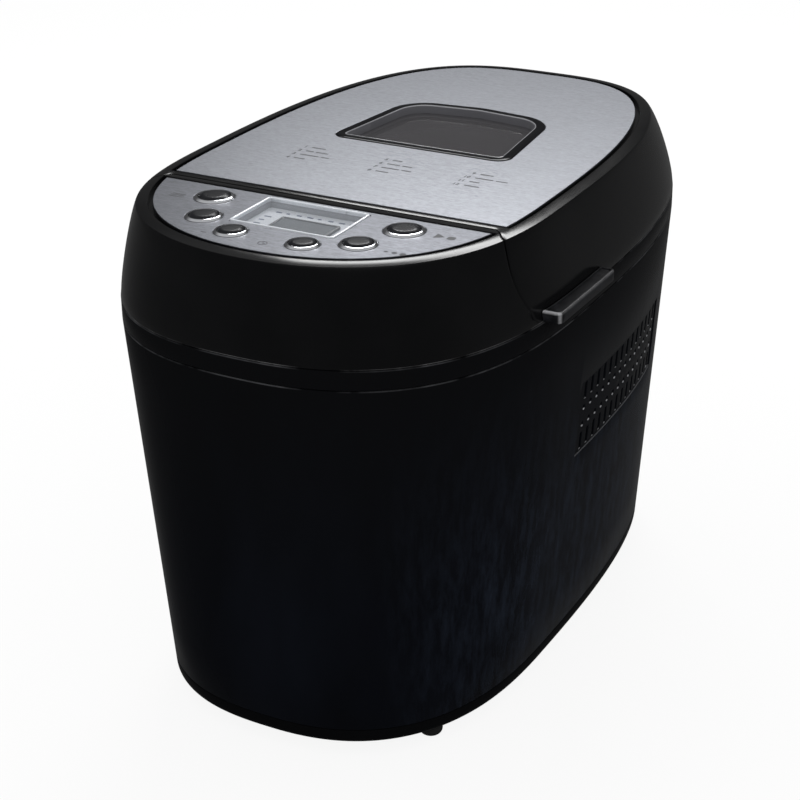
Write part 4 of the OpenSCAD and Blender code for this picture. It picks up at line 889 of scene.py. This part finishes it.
def topShell(name, behind, slot, node, holes):
    way = 1 if behind else -1
    bm = bmesh.new()
    low, high, roof, wall = topSet["low"], topSet["high"], topSet["roof"], case["wall"]
    inner, outer = seamLine(way * (topSet["gap"] + wall)), seamLine(way * topSet["gap"])
    rimWidth, drop, edge = topSet["rimWidth"], topSet["rimDrop"], case["edge"]
    floor, bed = high - topSet["groove"], high - topSet["plate"] - 0.02  # under the groove, the plate
    soft = edge * 0.3
    steps = [(*shoulderRing(math.radians(a), wall, roof), inner) for a in (*range(0, 81, 8), 86, 90)]
    steps += [(caseRing(-wall), low, inner), (caseRing(-edge), low, outer),
              (caseRing(-soft), low + soft, outer), (caseRing(0), low + edge, outer)]
    first = len(steps) - 1
    steps += [(*shoulderRing(math.radians(a), 0, high - drop), outer) for a in range(90, -1, -3)]
    steps += [(plateRing(mix(rimWidth, 3, share)), high - drop * (1 - share) ** 1.4, outer)
              for share in (0.25, 0.5, 0.75, 1)]
    last = len(steps) - 1
    rim = topSet["seam"] + way * topSet["frontRim"]
    seat = topSet["seam"] + way * (topSet["rim"] + 0.05)
    steps += [(plateRing(2.85), high, straightLine(rim - way * 0.15)),
              (plateRing(2.6), high - 0.25, straightLine(rim)),
              (plateRing(2.55), floor, straightLine(rim + way * 0.05)),
              (plateRing(0.05), floor, straightLine(seat - way * 0.1)),
              (plateRing(0.05), bed, straightLine(seat - way * 0.1))]
    rings = loft(bm, [raised(halfRing(ring, line, behind), z) for ring, z, line in steps])
    walls = [loft(bm, [raised(points, z) for z in (roof, bed)]) for points in holes]
    fill(bm, rings[0], *[w[0] for w in walls])
    fill(bm, rings[-1], *[w[-1] for w in walls])
    arc = topSet["arcPoints"]
    edges = []
    for a, b in zip(rings[first:last], rings[first + 1:last + 1]):
        edges += [bm.edges.get((a[0], b[0])), bm.edges.get((a[arc - 1], b[arc - 1]))]
    top = rings[last]
    chain = top[arc - 1:] + [top[0]]
    edges += [bm.edges.get(pair) for pair in zip(chain, chain[1:])]
    roundEdges(bm, edges, topSet["seamEdge"])
    pieceFrom(name, bm, "lid" if behind else "base", slot, [node], 32)


windowSet = {
    "front": (54.5, 8.0),  # half width and corner radius
    "rear": (49.0, 23.0),
    "length": 84.7,
    "bow": (3.0, 8.0),
    "frame": 5.5,
    "ledge": (6.0, 6.6),   # reach and depth
    "glass": 2.4,
    "points": 200,
}


def windowRing(grow):  # narrower and rounder at the rear, which is bowed
    (frontX, frontR), (rearX, rearR) = windowSet["front"], windowSet["rear"]
    bow, bowR = windowSet["bow"]
    frontR, rearR = max(frontR + grow, 3), max(rearR + grow, 3)
    rear = windowSet["length"] + grow
    circles = [(side * (frontX + grow - frontR), -grow + frontR, frontR) for side in (-1, 1)]
    circles += [(side * (rearX + grow - rearR), rear - bow - rearR, rearR) for side in (-1, 1)]
    circles.append((0, rear - rearR - bowR, rearR + bowR))
    return hullRing(circles, windowSet["points"])


panelSet = {
    "buttons": ((-55.8, -117.1, 10.9, "menu"), (-44.7, -143.8, 9.9, "loaf"),
                (-20.6, -156.1, 9.0, "timer_down"), (20.6, -156.1, 9.0, "timer_up"),
                (44.7, -143.8, 9.9, "colour"), (55.8, -117.1, 10.9, "start_stop")),
    "capShare": 0.76,
    "capGap": 0.3,
    "capRise": 1.9,
    "capSlope": 1.1,
    "stem": (2.5, 265.5),               # radius and lower end of a button's stem
    "flange": (2.0, 274.2, 275.7),      # how far it stands out, from and to a height
    "ringRise": 1.1,
    "lens": (60.4, 38.8, -124.1),       # width, length and middle
    "lensGap": 0.4,
    "lensThick": 1.6,
    "lensRim": 1.4,
    "depth": 3.2,                       # from the lens down to the card
    "cardIn": 3.4,
    "cardThick": 0.8,
    "screen": (3.5, -127.5),
    "display": (34.0, 18.0),
    "bezel": (2.4, 1.5),                # how much smaller its opening is, and its height
    "pane": (2.6, 1.1),
    "ticks": (8, -22, 6.2, 12.6, (3.6, 2.2, 3.0)),   # how many, first, step, row, lengths
    "rows": (-24.5, 5.0, 5.2, (4.4, 3.2, 4.0)),      # column, first, step, lengths
}


def capRadius(r):
    return r * panelSet["capShare"]


def housingHoles():
    width, length, y = panelSet["lens"]
    lens = boxRing(0, y, width + panelSet["lensGap"], length + panelSet["lensGap"], 1.2)
    return [lens] + [circleRing(x, by, capRadius(r) + panelSet["capGap"], 48)
                     for x, by, r, _ in panelSet["buttons"]]


topShell("lidShell", True, "lid_black", "lid_shell", [windowRing(-2.0)])
topShell("controlHousing", False, "lid_black", "control_housing", housingHoles())
print("lid and housing made")


def plateOutline(behind):
    way = 1 if behind else -1
    y = topSet["seam"] + way * topSet["rim"]

    def shape(inset):
        return halfRing(plateRing(-inset), straightLine(y + way * inset), behind, 240, 60)
    return shape


def steelPlates():
    levels = (topSet["high"] - topSet["plate"], topSet["high"], 0.3)
    slabPiece("lidPlate", "lid", "steel_plate", plateOutline(True), [lambda inset: windowRing(0.2 + inset)],
              levels, ["lid_plate"])
    width, length, y = panelSet["lens"]
    gap = panelSet["lensGap"]
    holes = [boxShape(0, y, width + gap, length + gap, 1.2, 1, 1)]
    holes += [lambda inset, b=b: circleRing(b[0], b[1], b[2] + 0.1 + inset) for b in panelSet["buttons"]]
    # the control plate takes the painted shade of the darker steel copy
    slabPiece("controlPlate", "base", "steel_plate", plateOutline(False), holes, levels, ["control_plate"],
              paint=shadedPanelSteel)


def windowHoop(name, slot, steps, stands=(), crease=35, paint=None):  # steps are growth and height
    bm = bmesh.new()
    rings = loft(bm, [raised(windowRing(grow), z) for grow, z in steps])
    joinRings(bm, rings[0], rings[-1])
    pieceFrom(name, bm, "lid", slot, stands, crease, paint)


def windowPieces():
    high = topSet["high"]
    inner, (ledge, depth) = -windowSet["frame"], windowSet["ledge"]
    floor = high - depth
    windowHoop("windowFrame", "window_black", [
        (-2.2, floor - 2), (-2.2, high - 1.2), (0, high - 1.2), (0, high + 0.1), (-0.12, high + 0.28),
        (-0.4, high + 0.4), (inner + 0.7, high + 0.4), (inner + 0.2, high + 0.2), (inner, high - 0.3),
        (inner, floor), (inner - ledge + 0.3, floor), (inner - ledge, floor - 0.3),
        (inner - ledge, floor - 2)
    ], ["window_frame"], 45)
    windowHoop("windowLining", "window_black", [  # the smoked wall of the recess
        (inner + 0.05, floor + 0.1), (inner + 0.05, high + 0.1), (inner - 0.15, high + 0.1),
        (inner - 0.3, high - 0.1), (inner - 0.3, floor + 0.1)
    ], paint=smokedLining)
    windowHoop("windowEdgeHighlight", "window_clear", [  # a thin bead on its inner edge, painted pale as a highlight
        (inner + 0.35, high + 0.25), (inner + 0.35, high + 0.45), (inner + 0.1, high + 0.52),
        (inner - 0.25, high + 0.3), (inner - 0.35, high + 0.02), (inner - 0.1, high + 0.02)
    ], paint=windowEdgeHighlight)
    slabPiece("windowGlass", "lid", "window_clear", lambda inset: windowRing(inner - 0.2 - inset), [],
              (floor, floor + windowSet["glass"], 0.4), ["window_glass"])


def gripRing(inset, z):
    (x0, x1), (y0, y1) = gripSet["x"], gripSet["y"]
    radius = max(gripSet["corner"] - inset, 0.8)
    points = boxRing((x0 + x1) / 2, (y0 + y1) / 2, x1 - x0 - 2 * inset, y1 - y0 - 2 * inset, radius, 160)
    made = []
    for x, y in points:
        wall = wallX(y, case["bodyTop"]) + 0.1
        if z > gripSet["tuckFrom"]:
            wall -= gripSet["tuck"]
        made.append(spot(max(x, wall + inset * 0.6), y, z))
    return made


def lidGrip():
    bm = bmesh.new()
    low, high = gripSet["z"]
    lip, recess = gripSet["lip"], gripSet["recess"]
    steps = [(0.7, low), (0.2, low + 0.2), (0, low + 0.7), (0, high - 0.8), (0.22, high - 0.22),
             (0.8, high), (lip, high - 0.02), (lip + 0.35, high - 0.2), (lip + 0.6, high - recess),
             (lip + 1, high - recess)]
    rings = loft(bm, [gripRing(inset, z) for inset, z in steps])
    fill(bm, rings[0])
    fill(bm, rings[-1])
    pieceFrom("lidGrip", bm, "lid", "grip_grey", ["lid_grip"], 40)


for build in (steelPlates, windowPieces, lidGrip):
    build()
print("plates, window and grip made")


def buttonPieces():
    high, rise, gap = topSet["high"], panelSet["ringRise"], panelSet["capGap"]
    bm = bmesh.new()
    for x, y, r, _ in panelSet["buttons"]:
        inner, outer = capRadius(r) + gap, r - 0.3
        slope = outer - inner - 0.4
        profile = [(inner, high - 1.2), (r, high - 1.2), (r, high + 0.1), (r - 0.12, high + 0.26),
                   (outer, high + 0.33)]
        profile += [(outer - slope * s, high + 0.33 + (rise - 0.36) * math.sin(math.pi / 2 * s))
                    for s in (0.15, 0.35, 0.55, 0.75, 0.9, 1)]
        profile += [(inner + 0.15, high + rise), (inner, high + rise - 0.2), (inner, high - 1.2)]
        turned(bm, profile, x, y)
    pieceFrom("buttonRings", bm, "base", "button_chrome", ["button_rings"], 50)
    top, drop = high + panelSet["capRise"], panelSet["capSlope"]
    (stem, low), (out, under, over) = panelSet["stem"], panelSet["flange"]
    for x, y, r, name in panelSet["buttons"]:
        bm = bmesh.new()
        cap = capRadius(r)
        profile = [(0.001, low), (stem, low), (stem, under), (cap + out, under), (cap + out, over),
                   (cap, over), (cap, top - drop - 0.2), (cap - 0.08, top - drop)]
        profile += [(cap * share, top - drop * down)
                    for share, down in ((0.94, 0.8), (0.84, 0.42), (0.76, 0.16), (0.7, 0.06))]
        profile += [(cap * 0.6, top - 0.03), (cap * 0.3, top), (0.001, top)]
        turned(bm, profile, x, y)
        first, *rest = name.split("_")
        pieceFrom(first + "".join(rest).title() + "Cap", bm, name + "_button_body", "button_black",
                  [name + "_button"], 50)


def displayPieces():
    width, length, y = panelSet["lens"]
    top, rim = topSet["high"] + 0.2, 2 * panelSet["lensRim"]
    low = top - panelSet["lensThick"]
    card, cardIn = low - panelSet["depth"], panelSet["cardIn"]
    slabPiece("displayLens", "base", "lens_clear", boxShape(0, y, width - rim, length - rim, 0.8), [],
              (low, top - 0.1, 0.2), ["display_lens"])
    # a raised rim round the lens, painted white as its edge highlight
    slabPiece("lensRim", "base", "lens_clear", boxShape(0, y, width, length, 1.6, -1, -1),
              [boxShape(0, y, width - rim, length - rim, 0.8, 1, 1)], (low, top + 0.5, 0.45),
              crease=35, paint=lensRimHighlight)
    slabPiece("displayCard", "base", "display_white", boxShape(0, y, width - cardIn, length - cardIn, 0.6),
              [], (card - panelSet["cardThick"], card, 0.1), ["display_card"])
    (x, middle), (wide, long) = panelSet["screen"], panelSet["display"]
    (bezel, bezelHigh), (pane, paneHigh) = panelSet["bezel"], panelSet["pane"]
    slabPiece("screenBezel", "base", "display_lcd", boxShape(x, middle, wide, long, 0.8),
              [boxShape(x, middle, wide - bezel, long - bezel, 0.5, 1)], (card, card + bezelHigh, 0.2),
              crease=35, paint=screenBezel)
    slabPiece("screenPane", "base", "display_lcd", boxShape(x, middle, wide - pane, long - pane, 0.5), [],
              (card, card + paneHigh, 0.1), ["display_glass"])
    bm = bmesh.new()
    count, start, step, row, sizes = panelSet["ticks"]
    for i in range(count):
        bar(bm, start + i * step, start + i * step + sizes[i % 3], y + row, 1.5, card, 0.08)
    column, row, step, sizes = panelSet["rows"]
    for i, size in enumerate(sizes):
        bar(bm, column, column + size, y + row - i * step, 1.2, card, 0.08)
    pieceFrom("cardMarks", bm, "base", "display_white", paint=cardInk)


markSet = {  # plain numbers with bars on the lid, and signs beside the buttons
    "thick": 0.04,
    "size": 4.0,
    "bold": 0.1,
    "columns": (-59.0, -8.0, 45.0),
    "rows": (-23.2, -29.7, -36.2, -42.7),
    "number": 3.4,
    "first": 6.0,
    "tall": 1.3,
    "space": 1.4,
    "words": ((9,), (5, 8), (12, 5), (7,), (6,), (8, 6), (11, 6), (8,), (8,), (11, 7), (6,), (9,)),
    "list": (-79.0, -70.5, -121.2, 1.9, 0.9),        # three lines: from, to, first row, step, height
    "start": ((73.0, -113.8, 0.2), (73.0, -119.4, 0.2), (77.6, -116.6, 0.2)),
    "dots": (61.5, -146.5, 4.6, 1.0, 0.35),          # first, row, step, radius, how much they grow
    "clock": (2.4, -163.4, 2.6, 2.05),
    "bars": ((79.4, 83.6, -116.6, 4.2),              # stop
             (2.2, 3.9, -163.5, 0.45), (2.15, 2.6, -162.7, 1.5),  # the clock's hands
             (-33.6, -30.4, -163.2, 0.9)),           # less
}


def printed(bm, z, thick, *outlines):
    made = [loft(bm, [raised(points, z), raised(points, z + thick)]) for points in outlines]
    fill(bm, *[rings[0] for rings in made])
    fill(bm, *[rings[-1] for rings in made])


def bar(bm, x0, x1, y, height, z, thick):
    printed(bm, z, thick, boxRing((x0 + x1) / 2, y, x1 - x0, height, min(height, x1 - x0) * 0.3, 24))


def number(bm, text, x, y, z, size):
    curve = bpy.data.curves.new("number", "FONT")
    curve.body = text
    curve.size = size * mm
    curve.offset = markSet["bold"] * mm
    curve.align_x = "RIGHT"
    curve.resolution_u = 3
    curve.extrude = markSet["thick"] / 2 * mm
    drawn = placed("number", curve)
    bpy.context.view_layer.update()
    mesh = bpy.data.meshes.new_from_object(drawn.evaluated_get(bpy.context.evaluated_depsgraph_get()))
    mesh.transform(Matrix.Translation(spot(x, y, z + markSet["thick"] / 2)))
    bm.from_mesh(mesh)
    bpy.data.objects.remove(drawn)
    bpy.data.meshes.remove(mesh)


def printedMarks():
    z, thick, size = topSet["high"], markSet["thick"], markSet["size"]
    bm = bmesh.new()
    for i, words in enumerate(markSet["words"]):
        x, y = markSet["columns"][i // 4], markSet["rows"][i % 4]
        number(bm, str(i + 1), x + markSet["number"], y - size * 0.35, z, size)
        start = x + markSet["first"]
        for length in words:
            bar(bm, start, start + length, y, markSet["tall"], z, thick)
            start += length + markSet["space"]
    pieceFrom("lidMarks", bm, "lid", "button_black", paint=printInk)
    bm = bmesh.new()
    left, right, row, step, height = markSet["list"]
    for i in range(3):
        bar(bm, left, right, row - i * step, height, z, thick)
    printed(bm, z, thick, hullRing(markSet["start"], 36))
    x, row, step, radius, growth = markSet["dots"]
    for i in range(3):
        printed(bm, z, thick, hullRing([(x + i * step, row, radius + growth * i)], 36))
    x, y, outer, inner = markSet["clock"]
    printed(bm, z, thick, circleRing(x, y, outer, 40), circleRing(x, y, inner, 40))
    for place in markSet["bars"]:
        bar(bm, *place, z, thick)
    pieceFrom("panelMarks", bm, "base", "button_black", paint=printInk)


for build in (buttonPieces, displayPieces, printedMarks):
    build()
print("panel made")


floorSet = {"size": 12, "paint": 0.82, "direct": 0.88, "seen": 1.02, "glossy": 0.11, "through": 0.8}
worldSet = {"ambient": 0.75, "from": 0.45, "to": 0.75, "low": 0.09, "high": 0.55}
lampSet = {
    "rearStrip": {"place": (-0.46, 1.12, 1.28), "aim": (0, -0.05, 0.28), "width": 0.76, "height": 0.36,
                  "watts": 11.5},
}


def rays(tree):
    node = make(tree, "ShaderNodeLightPath").socket.node
    return [Wire(node.outputs[name]) for name in ("Is Camera Ray", "Is Glossy Ray", "Is Transmission Ray")]


def addFloor():
    mesh = bpy.data.meshes.new("floor")
    bm = bmesh.new()
    bmesh.ops.create_grid(bm, x_segments=2, y_segments=2, size=floorSet["size"])
    bm.to_mesh(mesh)
    bm.free()
    placed("floor", mesh)
    material = bpy.data.materials.new("floorPaint")
    tree = bareTree(material)
    seen, glossy, through = rays(tree)
    paint = make(tree, "ShaderNodeBsdfDiffuse", {}, {"Color": (*[floorSet["paint"]] * 3, 1)})
    strength = seen * floorSet["seen"] + glossy * floorSet["glossy"] + through * floorSet["through"]
    glow = make(tree, "ShaderNodeEmission", {}, {"Color": (1, 1, 1, 1), "Strength": strength})
    direct = seen * floorSet["direct"] + glossy + through  # the rest of the camera's rays show its shadow
    shown(tree, make(tree, "ShaderNodeMixShader", {}, {0: direct, 1: paint, 2: glow}))
    mesh.materials.append(material)


def addWorld():
    world = bpy.data.worlds.new("studio")
    tree = bareTree(world)
    seen, glossy, through = rays(tree)
    up, ambient = make(tree, "ShaderNodeTexCoord").part("Z"), worldSet["ambient"]
    wall = up.span(*[worldSet[key] for key in ("from", "to", "low", "high")])  # darker near the floor
    strength = seen * (1 - ambient) + (glossy + through) * (wall - ambient) + ambient
    glow = make(tree, "ShaderNodeBackground", {}, {"Color": (1, 1, 1, 1), "Strength": strength})
    shown(tree, glow, "ShaderNodeOutputWorld")
    bpy.context.scene.world = world


def addLamps():
    for name, light in lampSet.items():
        data = bpy.data.lights.new(name, "AREA")
        data.shape = "RECTANGLE"
        data.size, data.size_y, data.energy = light["width"], light["height"], light["watts"]
        lamp = placed(name, data)
        lamp.location = light["place"]
        aim = Vector(light["aim"]) - Vector(light["place"])
        lamp.rotation_euler = aim.to_track_quat("-Z", "Y").to_euler()


addFloor()
addWorld()
addLamps()
bpy.context.scene.view_settings.view_transform = "Standard"
print("stage set")
